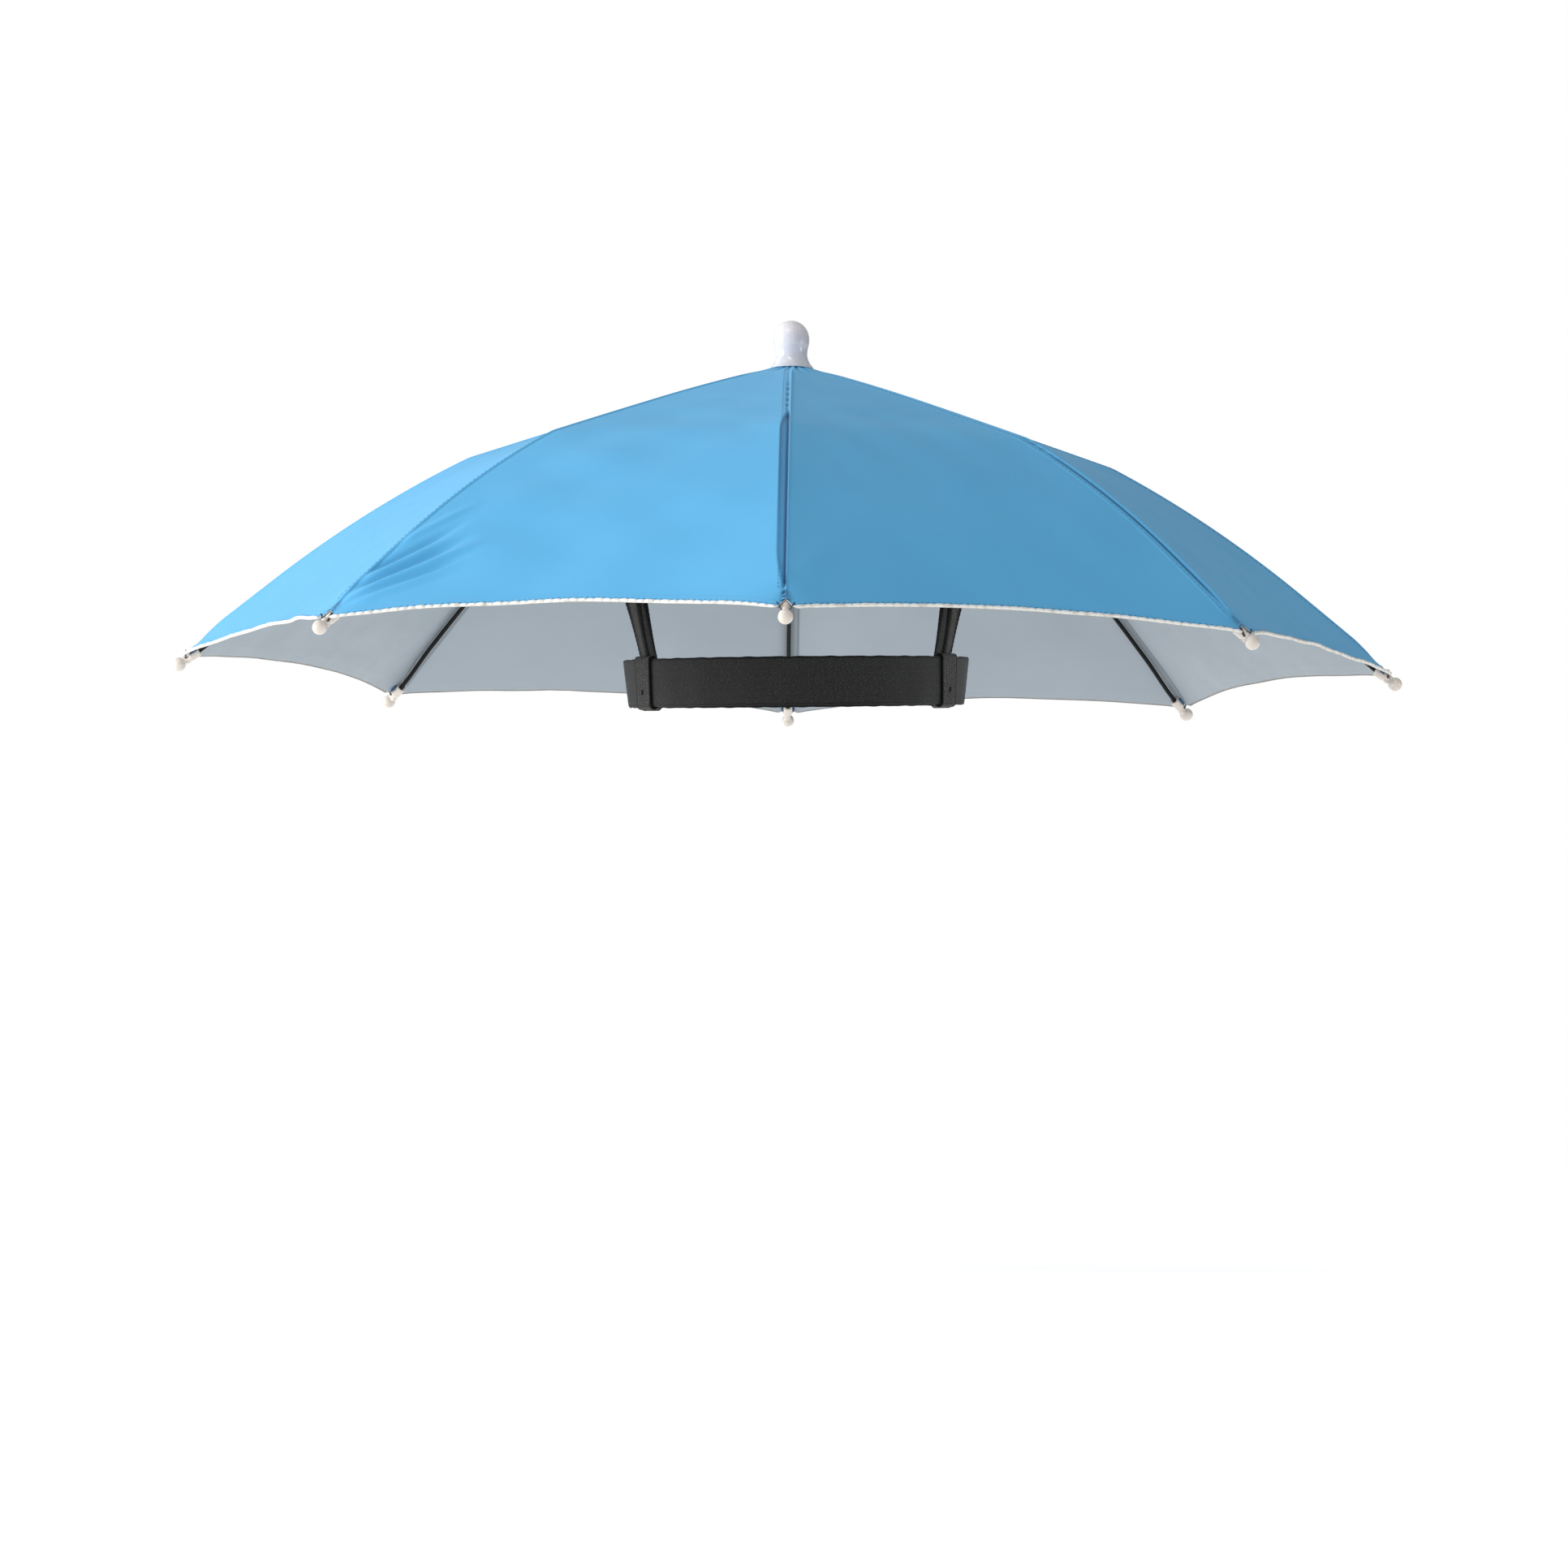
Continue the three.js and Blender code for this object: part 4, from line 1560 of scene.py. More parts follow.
@dataclass
class TipSet:
    """The eight moulded tips: a socket, an eyelet for the cloth's thread, a waist and a bead."""

    form: CanopyForm
    plastic: Material
    thread: Material
    socket_radius: float = 2.25 * MM
    socket_bore: float = 1.15 * MM
    waist_radius: float = 1.35 * MM
    bead_radius: float = 3.15 * MM
    eye_reach: float = 7.0 * MM
    eye_radius: float = 1.55 * MM
    eye_wire: float = 0.75 * MM
    eye_width: float = 2.6 * MM
    thread_radius: float = 0.24 * MM

    def reach(self) -> float:
        """Distance from the socket's mouth to the middle of the bead."""
        return (self.form.bead_middle() - self.form.socket_mouth()[1]).length

    def lathe(self) -> Mesh:
        """Socket, waist and bead in one turned body.

        Returns:
            The closed mesh.
        """
        reach, bead = self.reach(), self.bead_radius
        socket, waist = self.socket_radius, self.waist_radius
        profile = [(0.0, 5.6 * MM), (self.socket_bore, 5.6 * MM), (self.socket_bore, 0.0)]
        profile += [(socket - 0.3 * MM, 0.0), (socket, 0.3 * MM), (socket, 4.6 * MM)]
        profile += [(socket * 0.86, 5.4 * MM), (waist * 1.12, 6.2 * MM), (waist, 7.4 * MM)]
        start = math.asin(waist / bead) - math.pi / 2
        for step in range(15):
            turn = start + (math.pi / 2 - start) * step / 14
            profile.append((max(bead * math.cos(turn), 0.0), reach + bead * math.sin(turn)))
        return turned("tip_lathe", profile, 32)

    def eyelet(self) -> Mesh:
        """Ring on the waist, its hole running sideways.

        Returns:
            The closed mesh.
        """
        points, around, section = [], 28, 12
        for step in range(around):
            turn = 2 * math.pi * step / around
            for side in range(section):
                lean = 2 * math.pi * side / section
                radius = self.eye_radius + self.eye_wire * math.cos(lean)
                high, far = radius * math.sin(turn), self.eye_reach + radius * math.cos(turn)
                points.append((self.eye_width / 2 * math.sin(lean), high, far))
        mesh = mesh_of("tip_eyelet", points, ring_faces(around, section, True))
        outward_normals(mesh)
        return mesh

    def moulded(self) -> Mesh:
        """The lathe-turned body and the eyelet fused into one moulding, at the front tip's place.

        Returns:
            The closed mesh.
        """
        work = bmesh.new()
        work.from_mesh(self.lathe())
        work.from_mesh(self.eyelet())
        joined = bpy.data.meshes.new("tip_moulding")
        work.to_mesh(joined)
        work.free()
        piece = piece_of("tip_moulding", joined)
        remesh = piece.modifiers.new("fuse", "REMESH")
        remesh.mode = "VOXEL"
        remesh.voxel_size = 0.24 * MM
        soften = piece.modifiers.new("soften", "SMOOTH")
        soften.factor = 0.6
        soften.iterations = 4
        thin = piece.modifiers.new("thin", "DECIMATE")
        thin.ratio = 0.3
        depsgraph = bpy.context.evaluated_depsgraph_get()
        result = bpy.data.meshes.new_from_object(piece.evaluated_get(depsgraph))
        bpy.data.objects.remove(piece)
        result.transform(self.form.tip_place())
        return result

    def tie_thread(self) -> Mesh:
        """Path of the thread, to and fro through the eyelet between the cloth's two sides of the notch.

        Returns:
            The mesh of one line.
        """
        points = []
        steps, passes = 14, 2
        for turn in range(passes):
            for step in range(steps + 1):
                share = (2 * step / steps - 1) * (1 if turn % 2 == 0 else -1)
                spread = smooth(0.3, 1.0, np.float64(abs(share)))
                side = 3.7 * share * MM
                above = (0.1 + 2.7 * float(spread) + 0.4 * turn) * MM
                along = self.eye_reach + (0.4 * turn - 0.3 - 2.4 * float(spread)) * MM
                points.append((side, above, along))
        mesh = lines_of("tie_path", [points])
        mesh.transform(self.form.tip_place())
        return mesh

    def build(self) -> list[Object]:
        """Make the tips and the threads tied through them.

        Returns:
            The two pieces.
        """
        recipe = Recipe("tips_round_the_hem")
        count = recipe.size("Tip count", PANEL_COUNT)
        recipe.finish(recipe.round_the_axis(recipe.drawn(), count), self.plastic)
        tips = recipe.bake("rib_tips", self.moulded(), self.plastic)
        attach(tips, ROOT)
        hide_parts(*(f"rib_tip_{index + 1}" for index in range(PANEL_COUNT)))

        ties = Recipe("tie_threads")
        swept = ties.tube(ties.size("Thread radius", self.thread_radius), 7)
        ties.finish(ties.round_the_axis(swept, ties.size("Tie count", PANEL_COUNT)), self.thread)
        thread = ties.bake("tie_threads", self.tie_thread(), self.thread)
        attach(thread, ROOT)
        return [tips, thread]


@dataclass
class Crown:
    """The hub under the cloth and the turned finial over it."""

    form: CanopyForm
    plastic: Material
    finial_plastic: Material
    hub_radius: float = 13 * MM
    hub_depth: float = 5.5 * MM
    post_radius: float = 4 * MM
    post_height: float = 10 * MM
    bulb_radius: float = 8.1 * MM
    bulb_height: float = 11.3 * MM
    neck_radius: float = 7.05 * MM
    neck_height: float = 3.9 * MM
    base_radius: float = 9.9 * MM
    height: float = 19.8 * MM
    lean: float = 2.0

    def over_cloth(self, radius: float) -> float:
        """Height just above the cloth at a radius."""
        return float(self.form.height(np.array([radius / self.form.radius]))[0]) + 0.3 * MM

    def under_cloth(self, radius: float) -> float:
        """Height of the hub's top, just below the cloth, at a radius."""
        return self.over_cloth(radius) - 2.2 * MM

    def finial_profile(self) -> list[tuple[float, float]]:
        """Radius and height down the middle, out under the base and up over the bulb.

        Returns:
            The points of the profile.
        """
        top = self.form.crown_height
        bore = self.post_radius + 0.3 * MM
        bore_end = top + self.post_height + 0.3 * MM
        profile = [(0.0, bore_end), (bore, bore_end), (bore, self.over_cloth(bore))]
        rim_low = self.over_cloth(self.base_radius)
        rim_high = rim_low + 0.6 * MM
        for step in range(1, 6):
            radius = bore + (self.base_radius - 0.25 * MM - bore) * step / 5
            profile.append((radius, self.over_cloth(radius)))
        profile += [(self.base_radius, rim_low + 0.2 * MM), (self.base_radius, rim_high - 0.1 * MM)]
        neck_height, bulb_height = top + self.neck_height, top + self.bulb_height
        base, neck = (self.base_radius, rim_high), (self.neck_radius, neck_height)
        profile += bezier((base, (self.neck_radius, (rim_high + neck_height) / 2), neck), 12)
        middle = (neck_height + bulb_height) / 2
        bulb = (self.bulb_radius, bulb_height)
        profile += bezier((neck, (self.neck_radius, middle), (self.bulb_radius, middle), bulb), 12)
        for step in range(1, 25):
            turn = math.pi / 2 * step / 24
            rise = (self.height - self.bulb_height) * math.sin(turn)
            profile.append((max(self.bulb_radius * math.cos(turn), 0.0), bulb_height + rise))
        return profile

    def build_finial(self) -> Object:
        """Turn the finial and lean it a little, as the real one stands.

        Returns:
            The piece.
        """
        mesh = turned("crown_finial", self.finial_profile(), 72)
        foot = Vector((0.0, 0.0, self.form.crown_height))
        lean = Matrix.Rotation(math.radians(-self.lean), 4, "Y")
        for vertex in mesh.vertices:
            share = min(max((vertex.co.z - foot.z) / (4 * MM), 0.0), 1.0)
            leaned = foot + lean @ (vertex.co - foot)
            vertex.co = vertex.co.lerp(leaned, share)
        piece = piece_of("crown_finial", mesh, self.finial_plastic)
        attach(piece, ROOT)
        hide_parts("finial")
        return piece

    def build_hub(self) -> Object:
        """Turn the hub, with a notch in its rim for every rib.

        Returns:
            The piece.
        """
        rim, under = self.hub_radius, self.under_cloth
        low, high = under(rim) - self.hub_depth, under(rim)
        profile = [(0.0, low), (5.0 * MM, low), (5.6 * MM, low + 0.8 * MM)]
        profile += [(10.4 * MM, low + 0.8 * MM), (11.0 * MM, low)]
        profile += [(rim - 0.5 * MM, low), (rim, low + 0.5 * MM), (rim, high - 2.4 * MM)]
        profile += [(12.0 * MM, under(12 * MM) - 2.1 * MM), (12.0 * MM, under(12 * MM) - 1.5 * MM)]
        profile += [(rim, high - 1.2 * MM), (rim, high - 0.4 * MM), (12.6 * MM, under(12.6 * MM))]
        post = self.post_radius
        profile += [(post + 0.4 * MM, under(post)), (post, under(post) + 0.4 * MM)]
        top = self.form.crown_height + self.post_height
        profile += [(post, top - 0.4 * MM), (post - 0.4 * MM, top), (0.0, top)]
        mesh = turned("crown_hub", profile, 128)
        for vertex in mesh.vertices:
            radius = math.hypot(vertex.co.x, vertex.co.y)
            if radius > 11.6 * MM:
                turn = math.atan2(vertex.co.x, -vertex.co.y)
                off = abs(math.remainder(turn, math.pi / 4)) * radius
                draw = 1 - 0.10 * math.exp(-((off / (1.5 * MM)) ** 4))
                vertex.co.x *= draw
                vertex.co.y *= draw
        piece = piece_of("crown_hub", mesh, self.plastic)
        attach(piece, ROOT)
        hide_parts("hub")
        return piece

    def build(self) -> list[Object]:
        """Make the finial and the hub."""
        return [self.build_finial(), self.build_hub()]


@dataclass
class HeadBand:
    """The elastic band round the head: an oval that hangs lower at the front."""

    elastic: Material
    width: float = 153 * MM
    length: float = 192 * MM
    height: float = 21.3 * MM
    thickness: float = 1.4 * MM
    flare: float = 1.2 * MM
    shift: float = 4.3 * MM
    front_tilt: float = 4.2
    side_tilt: float = 1.5
    cords: int = 7
    edge_line: float = 0.8 * MM

    def place(self) -> Matrix:
        """Frame of the band's middle."""
        side = Matrix.Rotation(math.radians(-self.side_tilt), 4, "Y")
        front = Matrix.Rotation(math.radians(self.front_tilt), 4, "X")
        return Matrix.Translation((self.shift, 0, 0)) @ side @ front

    def point(self, angle: float, stand: float, height: float) -> Vector:
        """A point of the band, in its own frame: an angle round the oval, a distance out and a height.

        Args:
            angle: Angle in degrees.
            stand: Distance out from the oval.
            height: Height over the band's middle.

        Returns:
            The point.
        """
        direction = outward(angle)
        oval = Vector((direction.x * self.width / 2, direction.y * self.length / 2, 0.0))
        square = Vector((direction.x * self.length, direction.y * self.width, 0.0)).normalized()
        flared = oval + square * (stand + self.flare * height / (self.height / 2))
        flared.z = height
        return flared

    def section(self) -> list[tuple[float, float]]:
        """Stand and height of the band's section, its lengthwise cords raised on both faces.

        Returns:
            The points of the section.
        """
        points, steps = [], 36
        half, edge = self.thickness / 2, self.height / 2
        for step in range(steps + 1):
            height = -edge + self.height * step / steps
            cord = 0.035 * MM * math.cos(2 * math.pi * self.cords * step / steps)
            round_off = 0.55 * MM * max(0.0, abs(2 * step / steps - 1) - 0.93) / 0.07
            points.append((half - 0.12 * MM + cord - round_off, height))
        return points + [(-stand, height) for stand, height in reversed(points)]

    def build(self) -> Object:
        """Sweep the section round the oval.

        Returns:
            The piece.
        """
        section = self.section()
        steps, points, charts = 420, [], []
        perimeter = math.pi * (self.width + self.length) / 2
        for step in range(steps):
            angle = 360 * step / steps
            turn = math.radians(angle)
            wave = 0.08 * MM * math.sin(turn * 41) + 0.06 * MM * math.sin(turn * 67 + 1)
            swell = 0.12 * MM * math.sin(turn * 23 + 2)
            for stand, height in section:
                share = height / (self.height / 2)
                points.append(self.point(angle, stand + swell, height + wave * share * share * share))
                charts.append((perimeter * step / steps, height))
        faces = ring_faces(steps, len(section), True)
        mesh = mesh_of("head_band_elastic", points, faces)
        layer = mesh.uv_layers.new(name="cloth")
        for index, face in enumerate(mesh.polygons):
            for loop in face.loop_indices:
                vertex = mesh.loops[loop].vertex_index
                along, up_the_band = charts[vertex]
                if index >= (steps - 1) * len(section) and vertex < len(section):
                    along += perimeter
                layer.data[loop].uv = (along, up_the_band)
        inside = self.height / 2 - self.edge_line
        shade_mesh(mesh, [float(abs(up_the_band) > inside) for _, up_the_band in charts])
        mesh.transform(self.place())
        outward_normals(mesh)
        mesh.shade_smooth()
        piece = piece_of("head_band_elastic", mesh, self.elastic)
        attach(piece, ROOT)
        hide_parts("head_band")
        return piece


Skin = tuple[list[Vector], list[tuple[int, ...]], list[tuple[float, float]], list[float]]


@dataclass(frozen=True)
class StrapPlace:
    """One strap: its CAD name, the rib it hangs on and its place on the band, as angles."""

    name: str
    rib_angle: float
    band_angle: float


@dataclass
class Strap:
    """Webbing from a loop round the head band up to a sleeve round a rib."""

    form: CanopyForm
    band: HeadBand
    where: StrapPlace
    webbing: Material
    width: float = 10 * MM
    thickness: float = 1 * MM
    hang_share: float = 124 / 275
    loop_width: float = 16 * MM
    clearance: float = 0.3 * MM
    weave_pitch: float = 2.1 * MM
    sleeve_bore: float = 1.15 * MM
    sleeve_radius: float = 2.2 * MM
    hook: Vector = field(init=False)
    rib_line: Vector = field(init=False)
    band_line: Vector = field(init=False)
    per_degree: float = field(init=False)
    lean: float = field(init=False)

    def __post_init__(self) -> None:
        """Find the strap's two ends and its lean along the band."""
        angle = self.where.band_angle
        self.hook = self.form.under_seam(self.where.rib_angle, self.hang_share, self.form.rib_drop)
        self.rib_line = self.form.downhill(self.where.rib_angle, self.hang_share)
        before, after = self.band.point(angle - 1, 0, 0), self.band.point(angle + 1, 0, 0)
        self.per_degree = (after - before).length / 2
        self.band_line = (after - before).normalized()
        rise = self.band.place().inverted() @ self.hook - self.band.point(angle, 0, 0)
        self.lean = rise.dot(self.band_line) / rise.z

    def loop_path(self, wall: float) -> list[tuple[float, float]]:
        """Stand and height round the band's section, with rounded folds at its edges.

        Args:
            wall: Distance out from the gap round the band.

        Returns:
            The points of the path.
        """
        stand = self.band.thickness / 2 + self.clearance + wall
        edge = self.band.height / 2 + self.clearance + wall
        points = []
        for side in (1, -1):
            for step in range(11):
                points.append((side * stand, side * (-edge + stand + (2 * edge - 2 * stand) * step / 10)))
            for step in range(1, 8):
                turn = math.pi * step / 8
                points.append((side * stand * math.cos(turn), side * (edge - stand + stand * math.sin(turn))))
        return points

    def build_loop(self) -> Skin:
        """Points, faces, charts and shade of the loop round the band.

        Returns:
            The four lists.
        """
        columns = np.linspace(-self.loop_width / 2, self.loop_width / 2, 25)
        outer, inner = self.loop_path(self.thickness), self.loop_path(0.05 * MM)
        points, charts, shade = [], [], []
        sheets = [(outer, along) for along in columns] + [(inner, along) for along in columns[::-1]]
        for path, along in sheets:
            edge = abs(along) / (self.loop_width / 2)
            run = 0.0
            for index, (stand, height) in enumerate(path):
                if index:
                    run += math.dist(path[index], path[index - 1])
                wave = math.cos(along / (0.42 * MM) + 0.4 * math.sin(height / (3 * MM)))
                ridge = 0.14 * MM * wave if path is outer else 0.0
                tuck = 0.25 * MM * max(0.0, edge - 0.9) / 0.1 if path is outer else 0.0
                scallop = 0.16 * MM * math.sin(run * 2 * math.pi / self.weave_pitch) * (edge > 0.99)
                reach = math.hypot(stand, max(abs(height) - 9 * MM, 0)) or 1.0
                swell = (ridge - tuck) / reach
                wide = along * (1 + scallop * 2 / self.loop_width)
                place = self.where.band_angle + (wide + self.lean * height) / self.per_degree
                points.append(self.band.point(place, stand * (1 + swell), height))
                charts.append((along, run))
                # Near-black woven edges, and painted shade in the valleys between the loop's ridges.
                shade.append(1.0 if edge > 0.9 else 0.3 * max(0.0, -wave))
        faces = ring_faces(len(sheets), len(outer), True)
        world = self.band.place()
        return [world @ point for point in points], faces, charts, shade

    def ribbon_frame(self) -> tuple[Vector, Vector, float, Vector, float]:
        """Foot, direction, length, first crosswise direction and twist of the ribbon.

        Returns:
            The five values.
        """
        edge = self.band.height / 2 + self.clearance + self.thickness / 2
        place = self.where.band_angle + self.lean * edge / self.per_degree
        world = self.band.place()
        foot = world @ self.band.point(place, 0, edge)
        rise = self.hook - foot
        direction = rise.normalized()
        start = world.to_3x3() @ self.band_line
        start = (start - direction * start.dot(direction)).normalized()
        end = (self.rib_line - direction * self.rib_line.dot(direction)).normalized()
        if start.dot(end) > 0:
            end = -end
        twist = math.atan2(start.cross(end).dot(direction), start.dot(end))
        return foot, direction, rise.length, start, twist

    def build_ribbon(self) -> Skin:
        """Points, faces, charts and shade of the ribbon, scalloped along its woven edges.

        Returns:
            The four lists.
        """
        foot, direction, length, start, twist = self.ribbon_frame()
        length = length - 1.0 * MM
        rows = 150
        half = self.width / 2
        columns = np.array([-1.0, -0.96, -0.85, -0.72, -0.64, -0.3, 0, 0.3, 0.64, 0.72, 0.85, 0.96, 1.0])
        points, charts, shade = [], [], []
        for row in range(rows + 1):
            share = row / rows
            turn = twist * share * share * (3 - 2 * share)
            across = Matrix.Rotation(turn, 3, direction) @ start
            through = direction.cross(across).normalized()
            run = length * share
            scallop = 0.24 * MM * math.sin(run * 2 * math.pi / self.weave_pitch)
            sway = 0.5 * MM * math.sin(math.pi * share) * math.sin(share * 5)
            middle = foot + direction * run + through * sway
            for side, order in ((1, columns), (-1, columns[::-1])):
                for column in order:
                    rim = abs(column)
                    high = self.thickness / 2 * (1.0 - 0.75 * max(0.0, rim - 0.85) / 0.15)
                    rib = 0.06 * MM * math.sin(run * 2 * math.pi / self.weave_pitch + side)
                    wide = half * column + math.copysign(scallop, column) * (rim > 0.95)
                    points.append(middle + across * wide + through * side * (high + rib))
                    charts.append((half * column, run))
                    shade.append(1.0 if rim > 0.6 else 0.0)
        sides = 2 * len(columns)
        faces = ring_faces(rows + 1, sides)
        faces.append(tuple(reversed(range(sides))))
        faces.append(tuple(range(rows * sides, (rows + 1) * sides)))
        return points, faces, charts, shade

    def build_sleeve(self) -> Skin:
        """Points, faces, charts and shade of the sleeve that folds round the rib.

        Returns:
            The four lists.
        """
        inner, outer = self.sleeve_bore, self.sleeve_radius
        axis = self.rib_line
        side = axis.cross(UP).normalized()
        above = side.cross(axis)
        points, charts, shade = [], [], []
        rows = np.linspace(-1, 1, 21)
        sheets = [(outer, row) for row in rows] + [(inner, row) for row in rows[::-1]]
        for radius, row in sheets:
            for step in range(24):
                turn = 2 * math.pi * step / 24
                wave = 1 + 0.02 * math.sin(row * 19 + turn * 2)
                direction = side * math.cos(turn) + above * math.sin(turn)
                points.append(self.hook + axis * row * self.width / 2 + direction * radius * wave)
                charts.append((row * self.width / 2, radius * turn))
                shade.append(0.9 if abs(row) > 0.9 else 0.0)
        return points, ring_faces(len(sheets), 24, True), charts, shade

    def build_tack(self) -> Skin:
        """Points, faces, charts and shade of the black bar tack that sews the loop together.

        Returns:
            The four lists.
        """
        points, faces, charts, shade = [], [], [], []
        rings, sides = 9, 8
        stand = self.band.thickness / 2 + self.clearance + self.thickness
        world = self.band.place()
        for stitch in range(3):
            middle = (-3.4 - 0.75 * stitch) * MM
            first = len(points)
            for ring in range(rings):
                sweep = math.pi * (ring + 0.35) / (rings - 0.3)
                along = -1.3 * MM * math.cos(sweep)
                for side in range(sides):
                    turn = 2 * math.pi * side / sides
                    out = stand + 0.4 * MM * math.sin(sweep) * math.cos(turn)
                    height = middle + 0.4 * MM * math.sin(sweep) * math.sin(turn) + 0.2 * along
                    place = self.where.band_angle + (along + self.lean * height) / self.per_degree
                    points.append(world @ self.band.point(place, out, height))
                    charts.append((along, height))
                    shade.append(1.0)
            faces.extend(tuple(first + index for index in face) for face in ring_faces(rings, sides))
            faces.append(tuple(first + index for index in reversed(range(sides))))
            faces.append(tuple(first + (rings - 1) * sides + index for index in range(sides)))
        return points, faces, charts, shade

    def build(self) -> Object:
        """Join the loop, the ribbon, the sleeve and the bar tack into one strap.

        Returns:
            The piece.
        """
        points, faces, charts, shade = [], [], [], []
        for part in (self.build_loop(), self.build_ribbon(), self.build_sleeve(), self.build_tack()):
            first = len(points)
            points.extend(part[0])
            faces.extend(tuple(first + index for index in face) for face in part[1])
            charts.extend(part[2])
            shade.extend(part[3])
        name = self.where.name.replace("strap", "strap_webbing")
        mesh = mesh_of(name, points, faces)
        layer = mesh.uv_layers.new(name="cloth")
        for loop in mesh.loops:
            layer.data[loop.index].uv = charts[loop.vertex_index]
        shade_mesh(mesh, shade)
        work = bmesh.new()
        work.from_mesh(mesh)
        bmesh.ops.recalc_face_normals(work, faces=work.faces)
        work.to_mesh(mesh)
        work.free()
        mesh.shade_smooth()
        piece = piece_of(name, mesh, self.webbing)
        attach(piece, ROOT)
        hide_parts(self.where.name)
        return piece


@dataclass(frozen=True)
class Lamp:
    """One soft square lamp: its place and size in metres and its power in watts."""

    name: str
    place: tuple[float, float, float]
    size: float
    power: float


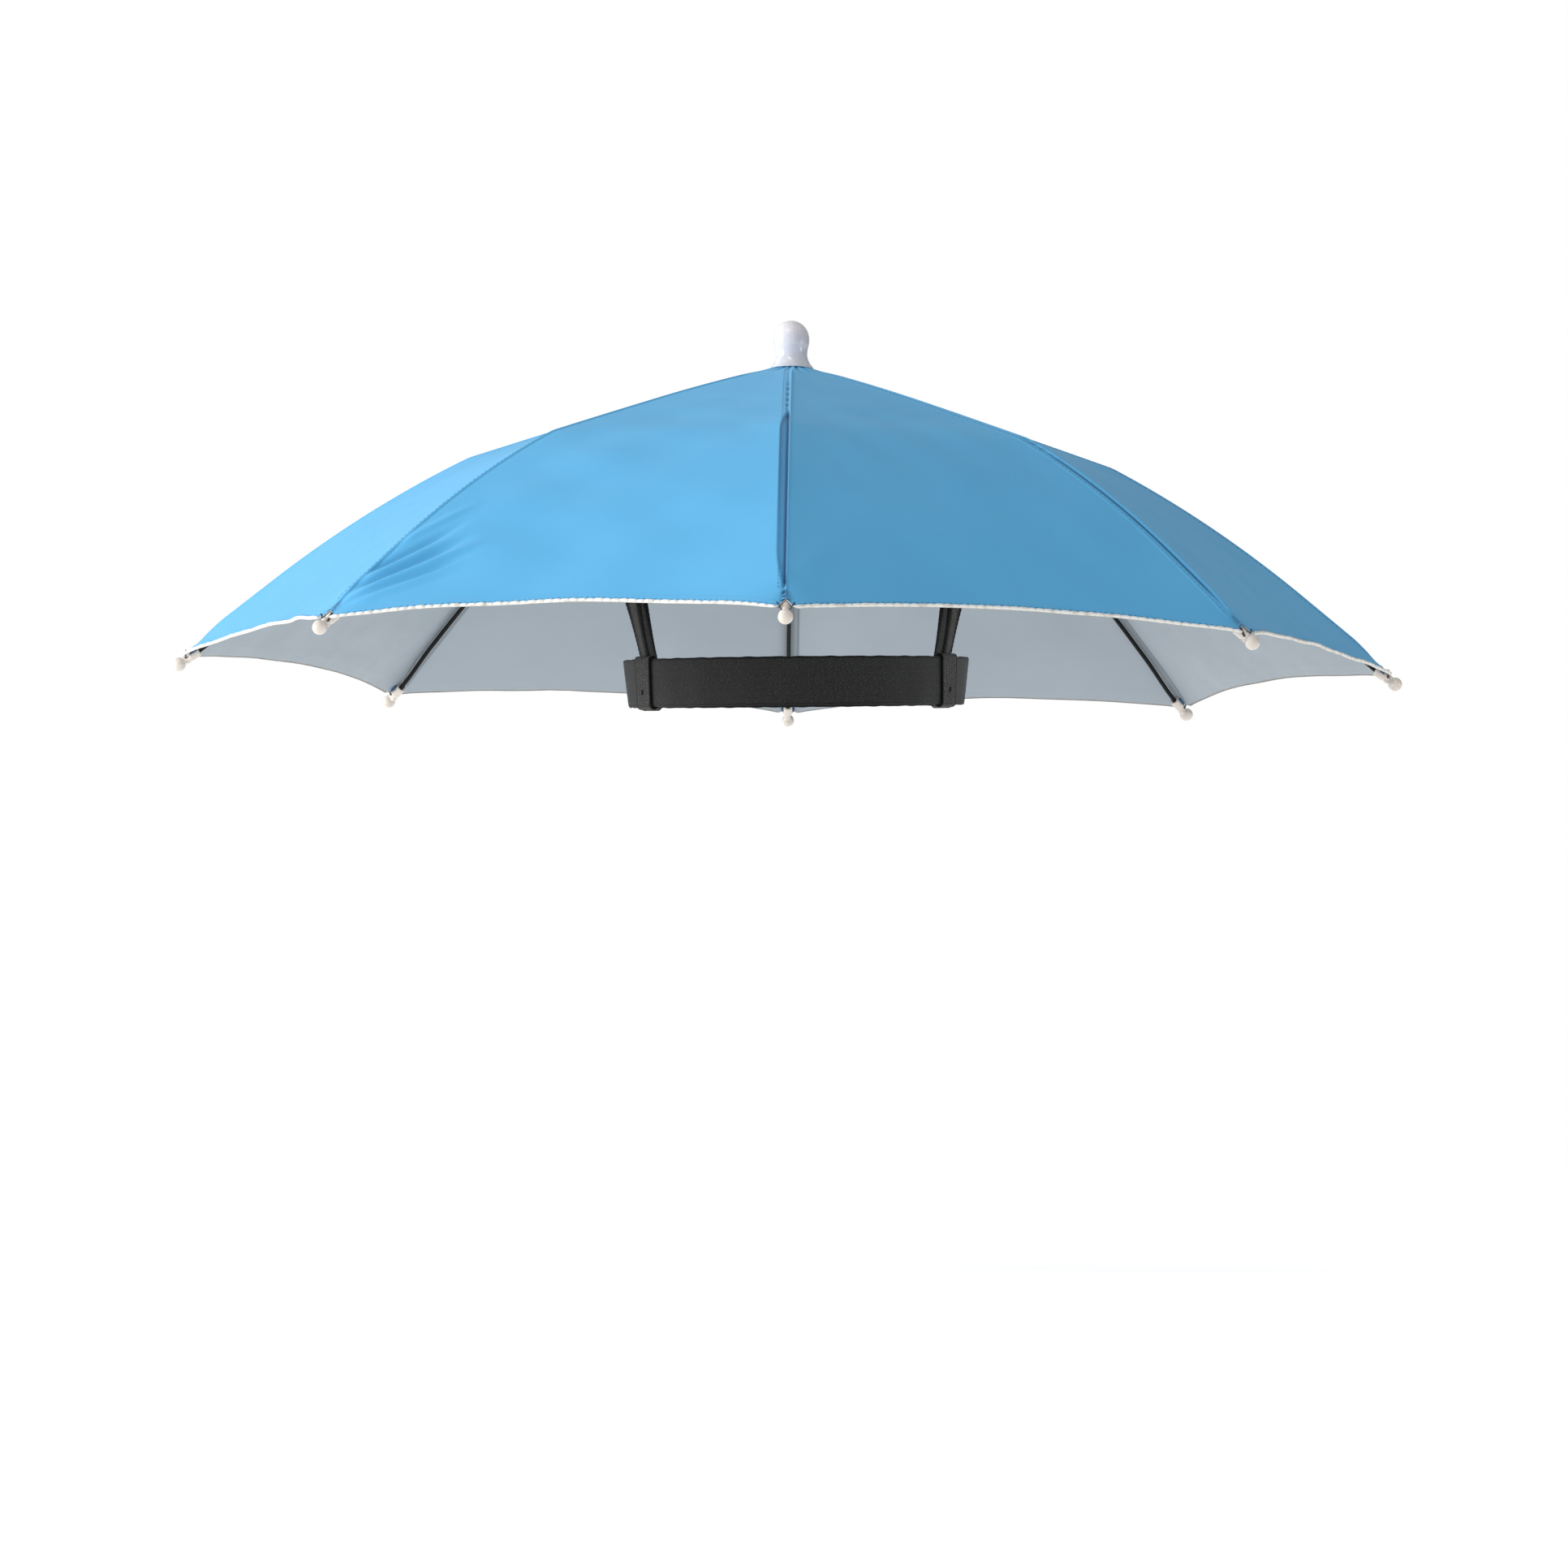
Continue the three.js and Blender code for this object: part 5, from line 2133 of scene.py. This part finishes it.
@dataclass(frozen=True)
class Studio:
    """Camera, white surroundings, soft lights and a plain floor."""

    lens: float = 126.17
    distance: float = 2.482233
    azimuth: float = 0.196
    elevation: float = -3.691
    roll: float = 0.956
    target: tuple[float, float, float] = (-0.000406, 0.0, -0.0460)
    floor_height: float = -0.262
    floor_reach: float = 12.0
    sky_level: float = 0.53
    sky_slope: tuple[float, float, float] = (-0.52, 0.0, 0.02)
    sky_least: float = 0.08
    lamps: tuple[Lamp, ...] = (
        Lamp("key_lamp", (-2.487, -0.666, 0.412), 0.8, 40.0),
        Lamp("back_lamp", (-1.56, 1.3, 1.66), 0.8, 5.5),
        Lamp("top_lamp", (-0.75, -1.55, 2.04), 0.8, 9.8),
        Lamp("low_lamp", (2.2, -0.6, -0.1), 0.5, 6.0),
    )

    def camera(self) -> None:
        """Place the camera at the photograph's angle."""
        data = bpy.data.cameras.new("photo_camera")
        data.lens = self.lens
        data.sensor_width = 36.0
        data.sensor_fit = "HORIZONTAL"
        data.clip_start, data.clip_end = 0.05, 60.0
        camera = bpy.data.objects.new("photo_camera", data)
        bpy.context.scene.collection.objects.link(camera)
        turn, lift = math.radians(self.azimuth), math.radians(self.elevation)
        back = Vector((math.sin(turn) * math.cos(lift), -math.cos(turn) * math.cos(lift), math.sin(lift)))
        level = Vector((math.cos(turn), math.sin(turn), 0.0))
        above = back.cross(level)
        tilt = math.radians(self.roll)
        right = level * math.cos(tilt) + above * math.sin(tilt)
        up = above * math.cos(tilt) - level * math.sin(tilt)
        place = Matrix((right, up, back)).transposed().to_4x4()
        place.translation = Vector(self.target) + back * self.distance
        camera.matrix_world = place
        bpy.context.scene.camera = camera

    def hang(self, lamp: Lamp) -> None:
        """Hang one lamp so that it looks at the hat.

        Args:
            lamp: The lamp.
        """
        data = bpy.data.lights.new(lamp.name, "AREA")
        data.shape = "SQUARE"
        data.size = lamp.size
        data.energy = lamp.power
        hung = bpy.data.objects.new(lamp.name, data)
        bpy.context.scene.collection.objects.link(hung)
        look = Vector((0.0, 0.0, 0.05)) - Vector(lamp.place)
        hung.location = lamp.place
        hung.rotation_euler = look.to_track_quat("-Z", "Y").to_euler()

    def surroundings(self) -> None:
        """White surroundings, dimmer on the right, where the studio is open."""
        world = bpy.data.worlds.new("white_studio")
        bpy.context.scene.world = world
        world.use_nodes = True
        bench = NodeBench(world.node_tree)
        world.node_tree.nodes.clear()
        heading = bench.node("ShaderNodeTexCoord").outputs["Generated"]
        slope = bench.node("ShaderNodeVectorMath", {0: heading, 1: self.sky_slope}, operation="DOT_PRODUCT")
        level = bench.math("ADD", slope.outputs["Value"], self.sky_level)
        depth = bench.math("MAXIMUM", level, self.sky_least)
        soft = bench.node("ShaderNodeBackground", {"Color": (1.0, 1.0, 1.0, 1.0), "Strength": depth})
        plain = bench.node("ShaderNodeBackground", {"Color": (1.0, 1.0, 1.0, 1.0), "Strength": 1.0})
        path = bench.node("ShaderNodeLightPath")
        mixed = bench.node("ShaderNodeMixShader", {"Fac": path.outputs["Is Camera Ray"]})
        bench.feed(mixed.inputs[1], soft.outputs[0])
        bench.feed(mixed.inputs[2], plain.outputs[0])
        bench.node("ShaderNodeOutputWorld", {"Surface": mixed.outputs[0]})

    def floor(self) -> None:
        """Lay the floor."""
        half = self.floor_reach
        corners = [(-half, -half), (half, -half), (half, half), (-half, half)]
        mesh = mesh_of("studio_floor", [(x, y, self.floor_height) for x, y in corners], [(0, 1, 2, 3)])
        floor = piece_of("studio_floor", mesh, StudioFloor().material())

    def build(self) -> None:
        """Set up the whole studio."""
        bpy.context.scene.view_settings.view_transform = "Standard"
        self.camera()
        self.surroundings()
        self.floor()
        for lamp in self.lamps:
            self.hang(lamp)


def main() -> None:
    """Build the studio and every sub-assembly of the hat, in order."""
    logging.basicConfig(level=logging.INFO, format="%(message)s")
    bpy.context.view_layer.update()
    form = CanopyForm()
    Studio().build()
    dark_thread = Thread("tie_thread_navy", (24, 34, 52)).material()
    white = MouldedPlastic(
        "tip_plastic_white",
        (219, 212, 204),
        (208, 199, 189),
        roughness=0.32,
        coat=0.25,
        glow=0.25,
    ).material()
    lilac = MouldedPlastic(
        "finial_plastic_white",
        (220, 220, 227),
        (212, 210, 217),
        roughness=0.28,
        coat=0.4,
        glow=0.9,
        depth=4.0,
    ).material()
    band = HeadBand(KnitElastic().material())
    canopy = Canopy(
        form,
        CanopyCloth().material(),
        SilverLining().material(),
        HemEdge().material(),
        Thread("canopy_thread_blue", (58, 122, 176)).material(),
    )
    webbing = WovenWebbing().material()
    places = (
        StrapPlace("strap_front_right", 45, LOOP_ANGLE),
        StrapPlace("strap_front_left", -45, -LOOP_ANGLE),
        StrapPlace("strap_back_right", 135, 180 - LOOP_ANGLE),
        StrapPlace("strap_back_left", -135, LOOP_ANGLE - 180),
    )
    parts: list[tuple[str, Callable[[], object]]] = [
        ("ribs", RibSet(form, PaintedWire().material()).build),
        ("canopy", canopy.build),
        ("tips", TipSet(form, white, dark_thread).build),
        ("crown", Crown(form, white, lilac).build),
        ("head band", band.build),
    ]
    parts += [(place.name, Strap(form, band, place, webbing).build) for place in places]
    for label, build in parts:
        made = build()
        pieces = made if isinstance(made, list) else [made]
        LOG.info("%s: %s", label, ", ".join(f"{one.name} {len(one.data.polygons)} faces" for one in pieces))


if __name__ == "__main__":
    main()
